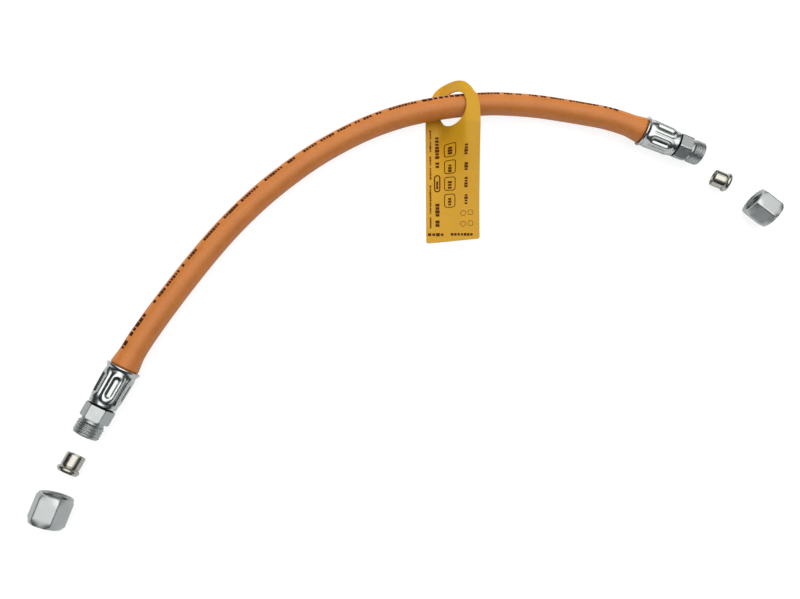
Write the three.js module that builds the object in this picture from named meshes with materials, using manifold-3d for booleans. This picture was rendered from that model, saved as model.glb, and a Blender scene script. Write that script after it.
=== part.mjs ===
// Rubber gas hose with a crimped ferrule and a threaded end fitting on each end, laid out on a
// table with its two cutting rings, its two union nuts and the plastic tag that hangs on it.
// Millimetres, +Z up, the table is the plane z = 0.
import * as THREE from 'three';
import { mergeVertices } from 'three/addons/utils/BufferGeometryUtils.js';
import Module from 'manifold-3d';

const wasm = await Module();
wasm.setup();

// Gap kept between pieces that touch
const seatGap = 0.3;
const edgeBreak = 0.4; // usual bevel on a metal edge

// Hose
const hoseOuter = 13.3;
const hoseBore = 6.3;
const hoseBulge = 15.2; // swell pushed out of the ferrule's mouth by the crimp
const hoseBulgeLength = 9;
const hoseBulgeEdge = 0.7; // rounding of the swell's edge beside the ferrule
const hoseJoint = 1.6; // plain length behind the swell, where the straight end meets the curved hose
const hoseSqueeze = 0.5; // how far the crimp presses the hose in, at each side
const squeezeEase = 0.6; // half the length over which the squeeze sets in

// Crimped ferrule
const ferruleLength = 21.5;
const ferruleLip = 18.0; // diameter of the rolled lip at the mouth
const ferruleTop = 17.0; // diameter over the pads beside the lip
const ferruleLipLength = 1.5;
const ferruleEnd = 15.2; // diameter at the end beside the hexagon
const ferruleFlange = 2.2; // thickness of the inward flange that grips the neck
const padCount = 6;
const padWidth = 7.4;
const padLength = 16.8;
const padHeight = 0.75; // how far a pad stands above the sleeve between the pads
const padMargin = 1.2; // left between the pads and the ferrule's end
const padSlotWidth = 4.2; // pressed slot along the middle of each pad
const padSlotLength = 11.8;
const padSlotDepth = 0.8;
const padRoll = 75; // degrees from level up to the first pad's middle

// End fitting, a turned hexagon with a thread outside and a barbed tail inside the hose
const neckDiameter = 9.0;
const seamGap = 0.9; // open groove between the ferrule and the hexagon
const hexAcross = 14;
const hexLength = 7.5;
const hexRoll = 6; // degrees between the hexagon's flats and the table
const hexChamfer = 0.35; // axial length of the chamfer at each end
const reliefDiameter = 11.9;
const reliefLength = 1.4;
const threadDiameter = 14;
const threadLength = 7.2;
const threadChamfer = 1.0;
const coneMouth = 10.0; // wide end of the 24 degree cone that takes the cutting ring
const coneHalfAngle = 12;
const pipeSocketDepth = 7.5;
const fittingBore = 4.5;
const tailDiameter = 7.0;
const tailInset = 0.7; // how far the tail's tip stays behind the ferrule's mouth
const barbHeight = 0.4;
const barbCount = 4;
const shoulderDiameter = 10.6; // ring behind the ferrule's flange
const shoulderLength = 1.2;
const shoulderCone = 0.6; // axial length of the shoulder's sloped back

// The pipe that the rings and nuts fit
const pipeDiameter = 8;
const pipeClearance = 0.1; // at each side of the pipe

// Cutting ring
const ringLength = 9.8;
const ringFront = 9.9;
const ringCollar = 11.6;
const ringCollarLength = 2.7;
const ringGroove = 9.2;
const ringGrooveLength = 0.9;
const ringFrontBevel = 0.5;
const ringFrontWall = 0.5; // left of the wall at the front edge, where it cuts into the pipe
const ringCollarBevel = 0.25;
const ringTailCone = 1.0; // bevel at the collar's end, that the nut's cone presses on

// Union nut
const nutAcross = 17;
const nutLength = 15.6;
const nutThreadDepth = 9.8;
const nutThreadMinor = 12.4;
const nutThreadEntry = 0.9; // countersink at the threaded mouth
const nutMouthChamfer = 1.3; // axial length of the outer chamfer at the threaded mouth
const nutBackChamfer = 2.1; // and at the end that the pipe comes out of
const nutMouthInset = 0.5; // how far the chamfer runs in from the flats at the mouth
const nutBackInset = 0.9; // and at the other end

// Tag, a stiff plastic sheet: its left side lies under the hose, its right side passes over it
const tagThickness = 0.8;
const tagLeft = -5.8;
const tagRight = 23.4;
const tagRightFoot = 25.0; // the right edge spreads a little towards the foot
const tagFootLeft = 28.2;
const tagFootRight = 31.2;
const tagShoulder = 103;
const tagHeadCentre = [8.9, 113.6];
const tagHeadRadius = 11.5;
const tagHeadTurn = 14; // degrees up from the head's middle to where its round end starts
const tagNeck = 4.5; // how far below that the bend into each side lies
const tagFootRadius = 1.5;
const tagHoleCentre = [9.0, 107.2];
const tagHoleHalfWidth = 6.5;
const tagHoleHalfLength = 10.1;
const tagHoseClearance = 0.9;
const tagRampMargin = 1.0; // the ramp past the hose is wider than the hole by this, at each side
const tagFootRise = 0.15; // share of the rise that is left at the foot
const tagHeadDrop = 0.25; // share of the rise that is lost at the tip of the head
const tagHeadDropStart = 4; // where that begins, below the hole's upper end

// Height of the hose's middle where the tag hangs on it
const tagHoseHeight = hoseOuter / 2 + tagThickness + tagHoseClearance;
const lipHeight = ferruleLip / 2;

// Route of the hose's middle line, from the first ferrule's mouth to the second's
const route = [
  [-167.1, -44.8, lipHeight],
  [-160.7, -32.1, 8.9],
  [-151.8, -17.2, 8.2],
  [-143.9, -4.9, 7.4],
  [-135.4, 7.6, 6.95],
  [-126.5, 19.9, 6.8],
  [-116.9, 32.1, 6.7],
  [-106.5, 43.8, 6.7],
  [-97.0, 53.4, 6.7],
  [-85.2, 63.9, 6.7],
  [-72.7, 73.9, 6.7],
  [-61.3, 81.7, 6.75],
  [-47.3, 90.0, 6.9],
  [-34.8, 96.0, 7.4],
  [-20.9, 101.2, 8.1],
  [-10.6, 104.2, tagHoseHeight],
  [9.0, 108.6, tagHoseHeight],
  [31.5, 111.4, tagHoseHeight],
  [46.0, 111.9, 7.9],
  [61.0, 111.7, 7.2],
  [76.0, 110.4, 6.85],
  [90.3, 108.4, 7.4],
  [101.3, 106.4, 8.3],
  [112.2, 103.4, 8.9],
  [124.5, 99.1, lipHeight],
];

// Where each end points, in degrees from +X
const endAzimuth = { a: -116.7, b: -20.5 };
const mouthPoint = { a: route[0], b: route[route.length - 1] };

// Loose pieces as they lie: middle of each piece and the way its outer end points
const looseRings = {
  a: { x: -191.0, y: -93.7, azimuth: -114.9 },
  b: { x: 174.8, y: 71.3, azimuth: -24.8 },
};
const looseNuts = {
  a: { x: -198.7, y: -116.3, azimuth: -108.4 },
  b: { x: 199.0, y: 53.7, azimuth: -37.4 },
};

// Facets
const roundSides = 28;
const hoseArcSteps = 6; // half the sides of the hose
const hoseSteps = 40;
const padArcSteps = 4;
const tagGrid = [12, 18];
const tagArcSteps = 10;

const rubber = new THREE.MeshStandardMaterial({ color: '#cf7a3a', roughness: 0.55, metalness: 0 });
const plastic = new THREE.MeshStandardMaterial({ color: '#d0a02e', roughness: 0.5, metalness: 0 });
const zinc = new THREE.MeshStandardMaterial({ color: '#b4b9b8', roughness: 0.28, metalness: 1 });
const steel = new THREE.MeshStandardMaterial({ color: '#8f9290', roughness: 0.2, metalness: 1 });

const radians = THREE.MathUtils.degToRad;

// Closed geometry to a solid that can be cut and joined
function solidOf(geometry) {
  const bare = geometry.clone();
  bare.deleteAttribute('normal');
  bare.deleteAttribute('uv');
  const merged = mergeVertices(bare, 1e-4);
  const index = merged.index.array;
  const triangles = [];
  for (let i = 0; i < index.length; i += 3) {
    const [p, q, r] = [index[i], index[i + 1], index[i + 2]];
    if (p !== q && q !== r && r !== p) triangles.push(p, q, r);
  }
  const vertProperties = new Float32Array(merged.attributes.position.array);
  const triVerts = new Uint32Array(triangles);
  return new wasm.Manifold(new wasm.Mesh({ numProp: 3, vertProperties, triVerts }));
}

function geometryOf(solid) {
  const mesh = solid.getMesh();
  const geometry = new THREE.BufferGeometry();
  geometry.setAttribute('position', new THREE.BufferAttribute(mesh.vertProperties, 3));
  geometry.setIndex(new THREE.BufferAttribute(mesh.triVerts, 1));
  geometry.computeVertexNormals();
  return geometry;
}

function meshOf(name, solid, material) {
  const mesh = new THREE.Mesh(geometryOf(solid), material);
  mesh.name = name;
  return mesh;
}

// Revolve a closed outline of [radius, along] points about the Y axis
function turned(outline, sides = roundSides) {
  const points = outline.map(([radius, along]) => new THREE.Vector2(radius, along));
  if (THREE.ShapeUtils.area(points) < 0) points.reverse();
  points.push(points[0].clone());
  return solidOf(new THREE.LatheGeometry(points, sides));
}

// Straight prism of a shape, its length along Y from one place to another
function prism(shape, from, to) {
  const geometry = new THREE.ExtrudeGeometry(shape, { depth: to - from, bevelEnabled: false });
  geometry.rotateX(-Math.PI / 2);
  geometry.translate(0, from, 0);
  return solidOf(geometry);
}

// Hexagon by its width across flats, a pair of flats level when roll is 0
function hexagon(across, roll = 0) {
  const corner = across / Math.sqrt(3);
  const shape = new THREE.Shape();
  for (let side = 0; side < 6; side += 1) {
    const angle = radians(60 * side - roll);
    const point = [corner * Math.cos(angle), corner * Math.sin(angle)];
    if (side === 0) shape.moveTo(...point);
    else shape.lineTo(...point);
  }
  shape.closePath();
  return shape;
}

function stadium(width, length) {
  const radius = width / 2;
  const straight = length / 2 - radius;
  const shape = new THREE.Shape();
  shape.absarc(0, straight, radius, 0, Math.PI, false);
  shape.absarc(0, -straight, radius, Math.PI, 2 * Math.PI, false);
  shape.closePath();
  return shape;
}

// Stadium bar that stands on the sleeve, its length along Y, its height along +Z
function padBar(width, length, from, to, middle) {
  const shape = stadium(width, length);
  const geometry = new THREE.ExtrudeGeometry(shape, {
    depth: to - from, bevelEnabled: false, curveSegments: padArcSteps,
  });
  geometry.translate(0, middle, from);
  return geometry;
}

// The crimped sleeve: rolled lip, six pressed pads with a slot in each, inward flange at the end
function ferrule() {
  const lip = ferruleLip / 2;
  const top = ferruleTop / 2;
  const end = ferruleEnd / 2;
  const mouth = -ferruleLength;
  const lipBack = mouth + ferruleLipLength;
  const hole = hoseOuter / 2 + seatGap;
  const squeezed = hole - hoseSqueeze;
  const flangeHole = neckDiameter / 2 + seatGap;
  const sleeve = turned([
    [hole, mouth], [lip - edgeBreak, mouth], [lip, mouth + edgeBreak], [lip, lipBack - edgeBreak],
    [top - padHeight, lipBack], [end, -padMargin], [end - edgeBreak, 0], [flangeHole, 0],
    [flangeHole, -ferruleFlange], [squeezed, -ferruleFlange], [squeezed, lipBack + squeezeEase],
    [hole, lipBack - squeezeEase],
  ]);
  const middle = (lipBack - padMargin) / 2;
  const far = middle + padLength / 2;
  const topFar = end + padHeight / 2;
  const core = squeezed + edgeBreak;
  const shell = turned([[core, lipBack], [top, lipBack], [topFar, far], [core, far]]);
  const slotFloor = (top + topFar) / 2 - padSlotDepth;
  const clear = lip + 1;
  let pads = null;
  let slots = null;
  for (let pad = 0; pad < padCount; pad += 1) {
    const turn = radians(-90 + padRoll + (360 * pad) / padCount);
    const bar = solidOf(padBar(padWidth, padLength, 0, clear, middle).rotateY(turn));
    const slot = solidOf(padBar(padSlotWidth, padSlotLength, slotFloor, clear, middle).rotateY(turn));
    pads = pads ? pads.add(bar) : bar;
    slots = slots ? slots.add(slot) : slot;
  }
  return sleeve.add(pads.intersect(shell)).subtract(slots);
}

// Outside of the turned parts of an end fitting, from the tail's tip to the threaded face
function fittingCore(tip, face) {
  const tail = tailDiameter / 2;
  const neck = neckDiameter / 2;
  const shoulder = shoulderDiameter / 2;
  const relief = reliefDiameter / 2;
  const thread = threadDiameter / 2;
  const shoulderFace = -ferruleFlange - seatGap;
  const shoulderBack = shoulderFace - shoulderLength;
  const coneStart = shoulderBack - shoulderCone;
  const threadBack = face - threadLength;
  const reliefBack = threadBack - reliefLength;
  const barbPitch = (coneStart - edgeBreak - tip) / barbCount;
  const outline = [[0, tip]];
  for (let barb = 0; barb < barbCount; barb += 1) {
    const start = tip + barb * barbPitch;
    const crest = start + barbPitch - 2 * barbHeight;
    outline.push([tail, start], [tail + barbHeight, crest], [tail, crest + barbHeight / 2]);
  }
  outline.push(
    [tail, coneStart], [shoulder, shoulderBack], [shoulder, shoulderFace], [neck, shoulderFace],
    [neck, seamGap + edgeBreak], [relief, seamGap + 2 * edgeBreak], [relief, reliefBack + reliefLength / 2],
    [thread, threadBack + edgeBreak], [thread, face - threadChamfer], [thread - threadChamfer, face],
    [0, face],
  );
  return turned(outline);
}

// One turned piece from the barbed tail to the coned, threaded mouth
function endFitting() {
  const tip = seatGap + tailInset - ferruleLength;
  const hexFront = seamGap + hexLength;
  const face = hexFront + reliefLength + threadLength;
  const flat = hexAcross / 2;
  const corner = hexAcross / Math.sqrt(3);
  const chamfered = turned([
    [0, seamGap], [flat, seamGap], [corner, seamGap + hexChamfer], [corner, hexFront - hexChamfer],
    [flat, hexFront], [0, hexFront],
  ]);
  const hex = prism(hexagon(hexAcross, hexRoll), seamGap, hexFront).intersect(chamfered);
  const socket = pipeDiameter / 2 + pipeClearance;
  const mouth = coneMouth / 2;
  const slope = Math.tan(radians(coneHalfAngle));
  const bore = fittingBore / 2;
  const hole = turned([
    [0, tip - 1], [bore, tip - 1], [bore, face - pipeSocketDepth], [socket, face - pipeSocketDepth],
    [socket, face - (mouth - socket) / slope], [mouth + slope, face + 1], [0, face + 1],
  ]);
  return fittingCore(tip, face).add(hex).subtract(hole);
}

// Cutting ring: thin front sleeve, groove, and a thicker collar behind it
function cuttingRing() {
  const hole = pipeDiameter / 2 + pipeClearance;
  const front = ringFront / 2;
  const collar = ringCollar / 2;
  const groove = ringGroove / 2;
  const half = ringLength / 2;
  const collarFront = half - ringCollarLength;
  const grooveFront = collarFront - ringGrooveLength;
  return turned([
    [hole, -half], [hole + ringFrontWall, -half], [front, -half + ringFrontBevel], [front, grooveFront],
    [groove, grooveFront + ringCollarBevel], [groove, collarFront - ringCollarBevel],
    [collar - ringCollarBevel, collarFront], [collar, collarFront + ringCollarBevel],
    [collar, half - ringTailCone], [collar - ringTailCone, half], [hole, half],
  ]);
}

// Union nut: hexagon with rounded-off corners, threaded mouth, cone and pipe hole
function unionNut() {
  const corner = nutAcross / Math.sqrt(3);
  const flat = nutAcross / 2;
  const thread = nutThreadMinor / 2;
  const hole = pipeDiameter / 2 + pipeClearance * 2;
  const mouth = -nutLength / 2;
  const back = nutLength / 2;
  const threadEnd = mouth + nutThreadDepth;
  const body = turned([
    [thread + nutThreadEntry, mouth], [flat - nutMouthInset, mouth], [corner, mouth + nutMouthChamfer],
    [corner, back - nutBackChamfer], [flat - nutBackInset, back], [hole + edgeBreak, back],
    [hole, back - edgeBreak], [hole, threadEnd + (thread - hole)], [thread, threadEnd],
    [thread, mouth + nutThreadEntry],
  ]);
  return body.intersect(prism(hexagon(nutAcross), mouth - 1, back + 1));
}

// One end of the hose: squeezed over the barbed tail, swollen just outside the ferrule
function hoseEnd() {
  const outer = hoseOuter / 2;
  const squeezed = outer - hoseSqueeze;
  const bulge = hoseBulge / 2;
  const bore = hoseBore / 2;
  const stretched = tailDiameter / 2 + barbHeight + seatGap;
  const mouth = -ferruleLength;
  const lipBack = mouth + ferruleLipLength;
  const cut = -ferruleFlange - shoulderLength - shoulderCone - seatGap;
  const swell = mouth - seatGap;
  const swellEnd = swell - hoseBulgeLength;
  const joint = swellEnd - hoseJoint;
  const rise = bulge - outer;
  return turned([
    [stretched, cut], [squeezed, cut], [squeezed, lipBack + squeezeEase], [outer, lipBack - squeezeEase],
    [outer, swell], [bulge - hoseBulgeEdge / 2, swell], [bulge, swell - hoseBulgeEdge],
    [bulge - 0.15 * rise, swell - 0.2 * hoseBulgeLength],
    [outer + 0.45 * rise, swell - 0.4 * hoseBulgeLength],
    [outer + 0.12 * rise, swell - 0.7 * hoseBulgeLength],
    [outer, swellEnd], [outer, joint], [bore, joint], [bore, mouth], [stretched, mouth],
  ]);
}

// Matrix of one end of the hose: Y points out along the fitting, the origin is the ferrule's end
function endMatrix(side) {
  const azimuth = radians(endAzimuth[side]);
  const [x, y, z] = mouthPoint[side];
  const place = new THREE.Matrix4().makeRotationZ(azimuth - Math.PI / 2);
  return place.setPosition(
    x + ferruleLength * Math.cos(azimuth), y + ferruleLength * Math.sin(azimuth), z,
  );
}

function hose() {
  const path = new THREE.CatmullRomCurve3(route.map((point) => new THREE.Vector3(...point)), false, 'centripetal');
  const section = new THREE.Shape();
  section.absarc(0, 0, hoseOuter / 2, 0, 2 * Math.PI, false);
  const bore = new THREE.Path();
  bore.absarc(0, 0, hoseBore / 2, 0, 2 * Math.PI, true);
  section.holes.push(bore);
  const geometry = new THREE.ExtrudeGeometry(section, {
    steps: hoseSteps, extrudePath: path, curveSegments: hoseArcSteps, bevelEnabled: false,
  });
  let solid = solidOf(geometry);
  for (const side of ['a', 'b']) {
    const end = geometryOf(hoseEnd());
    end.applyMatrix4(endMatrix(side));
    solid = solid.add(solidOf(end));
  }
  return solid;
}

const smooth = (share) => THREE.MathUtils.smoothstep(share, 0, 1);

// Height of the tag's middle surface over the table: a ramp from its left side up to its right
// side, as wide as the hole where the hose passes and as wide as the tag towards the foot
function tagHeight(x, y) {
  const rise = tagHoseHeight + hoseOuter / 2 + tagHoseClearance;
  const holeFoot = tagHoleCentre[1] - tagHoleHalfLength;
  const holeHead = tagHoleCentre[1] + tagHoleHalfLength;
  const tip = tagHeadCentre[1] + tagHeadRadius;
  const body = holeFoot - tagFootLeft;
  const spread = smooth((2 * (holeFoot - y)) / body);
  const narrow = tagHoleHalfWidth + tagRampMargin;
  const left = THREE.MathUtils.lerp(tagHoleCentre[0] - narrow, tagLeft, spread);
  const right = THREE.MathUtils.lerp(tagHoleCentre[0] + narrow, tagRight, spread);
  const across = smooth((x - left) / (right - left));
  const tail = THREE.MathUtils.clamp((y - tagFootLeft) / body, 0, 1);
  const drop = tagHeadDrop * smooth((y - holeHead + tagHeadDropStart) / (tip - holeHead + tagHeadDropStart));
  const along = tagFootRise + (1 - tagFootRise) * tail ** 1.4 - drop;
  return tagThickness / 2 + rise * across * along;
}

function tagOutline() {
  const [headX, headY] = tagHeadCentre;
  const turn = radians(tagHeadTurn);
  const reachX = tagHeadRadius * Math.cos(turn);
  const sideY = headY + tagHeadRadius * Math.sin(turn);
  const r = tagFootRadius;
  const shape = new THREE.Shape();
  shape.moveTo(tagLeft + r, tagFootLeft);
  shape.lineTo(tagRightFoot - r, tagFootRight);
  shape.quadraticCurveTo(tagRightFoot, tagFootRight, tagRightFoot, tagFootRight + r);
  shape.lineTo(tagRight, tagShoulder);
  shape.quadraticCurveTo(tagRight, sideY - tagNeck, headX + reachX, sideY);
  shape.absarc(headX, headY, tagHeadRadius, turn, Math.PI - turn, false);
  shape.quadraticCurveTo(tagLeft, sideY - tagNeck, tagLeft, tagShoulder);
  shape.lineTo(tagLeft, tagFootLeft + r);
  shape.quadraticCurveTo(tagLeft, tagFootLeft, tagLeft + r, tagFootLeft);
  const hole = new THREE.Path();
  hole.absellipse(...tagHoleCentre, tagHoleHalfWidth, tagHoleHalfLength, 0, 2 * Math.PI, true, 0);
  shape.holes.push(hole);
  return shape;
}

// A thin bent slab, cut to the tag's outline and hole as seen from above
function tag() {
  const margin = tagThickness;
  const tip = tagHeadCentre[1] + tagHeadRadius;
  const width = tagRightFoot - tagLeft + 2 * margin;
  const length = tip - tagFootLeft + 2 * margin;
  const slab = new THREE.BoxGeometry(width, length, tagThickness, ...tagGrid, 1);
  slab.translate((tagLeft + tagRightFoot) / 2, (tip + tagFootLeft) / 2, 0);
  const position = slab.attributes.position;
  for (let i = 0; i < position.count; i += 1) {
    const height = tagHeight(position.getX(i), position.getY(i));
    position.setZ(i, position.getZ(i) + height);
  }
  const depth = 2 * tagHoseHeight + hoseOuter;
  const cutter = new THREE.ExtrudeGeometry(tagOutline(), {
    depth, bevelEnabled: false, curveSegments: tagArcSteps,
  });
  cutter.translate(0, 0, -depth / 4);
  return solidOf(slab).intersect(solidOf(cutter));
}

// Group for one end of the hose
function hoseFittings(side) {
  const end = new THREE.Group();
  end.add(meshOf(`ferrule_${side}`, ferrule(), zinc));
  end.add(meshOf(`end_fitting_${side}`, endFitting(), zinc));
  end.applyMatrix4(endMatrix(side));
  return end;
}

// A loose ring rests on its collar and its front edge, so its front dips a little
function looseRing(side) {
  const { x, y, azimuth } = looseRings[side];
  const drop = (ringCollar - ringFront) / 2;
  const span = ringLength - ringCollarLength + ringCollarBevel - ringFrontBevel;
  const tilt = Math.atan2(drop, span);
  const mesh = meshOf(`cutting_ring_${side}`, cuttingRing(), steel);
  mesh.rotation.set(tilt, 0, radians(azimuth) - Math.PI / 2, 'ZXY');
  const edge = -ringLength / 2 + ringFrontBevel;
  const height = (ringFront / 2) * Math.cos(tilt) - edge * Math.sin(tilt);
  mesh.position.set(x, y, height);
  return mesh;
}

function looseNut(side) {
  const { x, y, azimuth } = looseNuts[side];
  const mesh = meshOf(`union_nut_${side}`, unionNut(), zinc);
  mesh.rotation.z = radians(azimuth) - Math.PI / 2;
  mesh.position.set(x, y, nutAcross / 2);
  return mesh;
}

const model = new THREE.Group();
model.add(meshOf('hose', hose(), rubber));
model.add(meshOf('tag', tag(), plastic));
for (const side of ['a', 'b']) {
  model.add(hoseFittings(side), looseRing(side), looseNut(side));
}

export default model;
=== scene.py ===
"""A flexible gas hose with crimped ferrules, threaded ends, loose rings and nuts, and its tag."""
import math

import bmesh
import bpy
import numpy as np
from mathutils import Matrix, Vector


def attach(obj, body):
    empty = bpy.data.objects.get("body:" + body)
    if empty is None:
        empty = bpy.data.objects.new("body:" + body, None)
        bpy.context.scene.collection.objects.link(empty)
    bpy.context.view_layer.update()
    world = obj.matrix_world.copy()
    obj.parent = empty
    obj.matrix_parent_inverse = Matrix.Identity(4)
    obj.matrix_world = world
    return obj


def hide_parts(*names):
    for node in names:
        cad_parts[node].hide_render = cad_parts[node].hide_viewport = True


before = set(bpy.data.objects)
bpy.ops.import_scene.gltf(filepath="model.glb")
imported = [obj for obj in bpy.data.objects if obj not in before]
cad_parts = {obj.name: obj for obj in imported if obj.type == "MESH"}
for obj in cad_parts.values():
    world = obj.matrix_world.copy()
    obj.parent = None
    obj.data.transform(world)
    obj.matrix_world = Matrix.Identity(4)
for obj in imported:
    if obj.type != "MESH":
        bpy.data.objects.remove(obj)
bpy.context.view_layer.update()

MM = 0.001  # every size below is in millimetres and is scaled once, when its mesh is made
INK_THICKNESS = 0.08
# points round each turned piece
HOSE_SIDES, FERRULE_SIDES, FITTING_SIDES, RING_SIDES, NUT_SIDES = 56, 216, 192, 128, 216

# Sizes, the same as the solids have unless a comment says otherwise.
SEAT_GAP = 0.3

HOSE_RADIUS = 6.65
HOSE_BORE_RADIUS = 3.15
TAIL_HOLE_RADIUS = 4.2  # bore of the hose where it is stretched over the barbed tail
HOSE_SQUEEZE = 0.5
SQUEEZE_START, SQUEEZE_LENGTH = 0.9, 1.2  # inwards from a ferrule's mouth
STRETCH_START, STRETCH_LENGTH = 1.0, 3.0  # the same, for the bore
BULGE_RISE = 0.95
BULGE_START, BULGE_LENGTH = 1.0, 9.0  # outwards from the mouth
BULGE_EDGE_START, BULGE_EDGE_LENGTH = 0.2, 0.9  # where it swells out from under the lip
STUB_LENGTH = 17.1  # of the hose inside each ferrule

FERRULE_LENGTH = 21.5
FERRULE_LIP_RADIUS = 9.0
FERRULE_TOP_RADIUS = 8.5  # over the pads beside the lip
FERRULE_LIP_LENGTH = 1.5
FERRULE_END_RADIUS = 7.6
FERRULE_FLANGE = 2.2
PAD_COUNT = 6
PAD_WIDTH = 7.4
PAD_LENGTH = 16.8
PAD_HEIGHT = 0.55  # 0.75 in the solid, whose edges are not eased
PAD_MIDDLE = -10.6
PAD_SLOT_WIDTH = 4.2
PAD_SLOT_LENGTH = 11.8
PAD_SLOT_DEPTH = 1.0  # 0.8 in the solid
FIRST_PAD = math.radians(-15)  # all turns about a fitting run from straight up towards its +X
# the raised edge of a pad and the edge of its slot are softer here, so the slot starts narrower
PAD_RIM, SLOT_RIM = 1.1, 1.0
PAD_WIDTH_EASING, PAD_LENGTH_EASING = 0.1, 0.2
SLOT_WIDTH_EASING, SLOT_LENGTH_EASING = 1.1, 0.9

NECK_RADIUS = 4.5
SEAM = 0.9
HEX_ACROSS = 14.0
HEX_LENGTH = 7.5
HEX_CORNER_EASING, NUT_CORNER_EASING = 0.12, 0.15  # cut off the corners of both hexagons
FIRST_HEX_FLAT = math.radians(-6)
RELIEF_RADIUS = 5.95
RELIEF_LENGTH = 1.4
THREAD_RADIUS = 7.0
THREAD_ROOT_RADIUS = 6.2
THREAD_GROOVE_RADIUS = 6.55  # bottom of the groove, which the plating rounds
THREAD_LENGTH = 7.2
THREAD_PITCH = 1.5
FACE_CHAMFER = 0.8
EDGE_EASING = 0.12  # of the turned edges, which the solids leave sharp
CONE_MOUTH_RADIUS = 5.0
CONE_HALF_ANGLE = math.radians(12)
PIPE_RADIUS = 4.1
PIPE_SOCKET = 7.5
FITTING_BORE_RADIUS = 2.25
TAIL_RADIUS = 3.5
BARB_HEIGHT = 0.4
BARB_COUNT = 4
BARB_CREST, BARB_FOOT = 0.85, 0.9  # shares of a barb's pitch
SHOULDER_RADIUS = 5.3
SHOULDER_LENGTH = 1.2
TAIL_SHORTER = 0.7  # than the ferrule

RING_LENGTH = 9.8
RING_FRONT_RADIUS = 4.95
RING_COLLAR_RADIUS = 5.8
RING_COLLAR_LENGTH = 2.7
RING_GROOVE_RADIUS = 4.6
RING_GROOVE_LENGTH = 0.9

NUT_ACROSS = 17.0
NUT_LENGTH = 15.6
NUT_THREAD_DEPTH = 9.8
NUT_HOLE_RADIUS = 4.2
NUT_MOUTH_CHAMFER = 1.3
NUT_BACK_CHAMFER = 2.1
# how far each end face lies inside the flats, and how round the chamfers are (1 is straight)
NUT_MOUTH_INSET, NUT_BACK_INSET, NUT_ROUNDNESS = 0.5, 0.9, 1.6
# the rounder back end is drawn in by this much, so that it stays inside the solid's box
NUT_BACK_TRIM = 0.32

TAG_THICKNESS = 0.8
TAG_EDGE_ROUNDING = 0.18
TAG_LEFT, TAG_RIGHT, TAG_RIGHT_FOOT = -5.8, 23.4, 25.0
TAG_FOOT_LEFT, TAG_FOOT_RIGHT, TAG_SHOULDER = 28.2, 31.2, 103.0
TAG_FOOT_RADIUS = 1.5
TAG_HEAD = (8.7, 113.2)
TAG_HEAD_RADIUS = 11.3
TAG_HEAD_TURN = math.radians(14)
TAG_NECK = 4.5
TAG_HOLE = (9.0, 107.2)
TAG_HOLE_HALF_WIDTH, TAG_HOLE_HALF_LENGTH = 6.5, 10.1
TAG_HOSE_HEIGHT = 8.35
TAG_CLEARANCE = 0.9
TAG_RAMP_MARGIN = 1.0
TAG_FOOT_RISE = 0.15
TAG_HEAD_DROP = 0.25
TAG_HEAD_DROP_START = 4.0

ROUTE = [
    (-167.1, -44.8, 9.0), (-160.7, -32.1, 8.9), (-151.8, -17.2, 8.2), (-143.9, -4.9, 7.4),
    (-135.4, 7.6, 6.95), (-126.5, 19.9, 6.8), (-116.9, 32.1, 6.7), (-106.5, 43.8, 6.7),
    (-97.0, 53.4, 6.7), (-85.2, 63.9, 6.7), (-72.7, 73.9, 6.7), (-61.3, 81.7, 6.75),
    (-47.3, 90.0, 6.9), (-34.8, 96.0, 7.4), (-20.9, 101.2, 8.1), (-10.6, 104.2, 8.35),
    (9.0, 108.6, 8.35), (31.5, 111.4, 8.35), (46.0, 111.9, 7.9), (61.0, 111.7, 7.2),
    (76.0, 110.4, 6.85), (90.3, 108.4, 7.4), (101.3, 106.4, 8.3), (112.2, 103.4, 8.9),
    (124.5, 99.1, 9.0),
]
END_AZIMUTH = {"a": math.radians(-116.7), "b": math.radians(-20.5)}
MOUTH = {"a": ROUTE[0], "b": ROUTE[-1]}
LOOSE_RINGS = {"a": (-191.0, -93.7, math.radians(-114.9)), "b": (174.8, 71.3, math.radians(-24.8))}
LOOSE_NUTS = {"a": (-198.7, -116.3, math.radians(-108.4)), "b": (199.0, 53.7, math.radians(-37.4))}

CAMERA_AT = (-68.5, -64.3, 393.85)
CAMERA_TO = (-21.0, -4.7, 0.0)
CAMERA_LENS = 31.853


def linked(name, data):
    """An object with that data, in the scene."""
    item = bpy.data.objects.new(name, data)
    bpy.context.scene.collection.objects.link(item)
    return item


def camera():
    """The camera that the photo was taken with, as its outlines give it."""
    position = Vector(CAMERA_AT) * MM
    forward = (Vector(CAMERA_TO) * MM - position).normalized()
    right = forward.cross(Vector((0, 1, 0))).normalized()
    turn = Matrix((right, right.cross(forward), -forward)).transposed()
    data = bpy.data.cameras.new("camera")
    data.lens = CAMERA_LENS
    data.clip_start = 0.01
    item = linked("camera", data)
    item.location = position
    item.rotation_euler = turn.to_euler()
    bpy.context.scene.camera = item


def piece_of(name, points, faces, uv, sharp):
    """A piece in metres from points in mm; its faces are turned to point outwards.

    Edges that turn by more than sharp, in degrees, are not smoothed."""
    corners = np.array(points, dtype=float)
    quads = np.array(faces)
    first = corners[quads[:, 0]]
    volume = 0.0
    for step in range(1, quads.shape[1] - 1):
        cross = np.cross(corners[quads[:, step]], corners[quads[:, step + 1]])
        volume += (first * cross).sum()
    if volume < 0:
        quads, uv = quads[:, ::-1], uv[:, ::-1]
    mesh = bpy.data.meshes.new(name)
    mesh.from_pydata((corners * MM).tolist(), [], quads.tolist())
    layer = mesh.uv_layers.new(name="surface")
    layer.data.foreach_set("uv", np.asarray(uv, dtype=np.float32).ravel())
    mesh.shade_smooth()
    mesh.set_sharp_from_angle(angle=math.radians(sharp))
    return linked(name, mesh)


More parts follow.
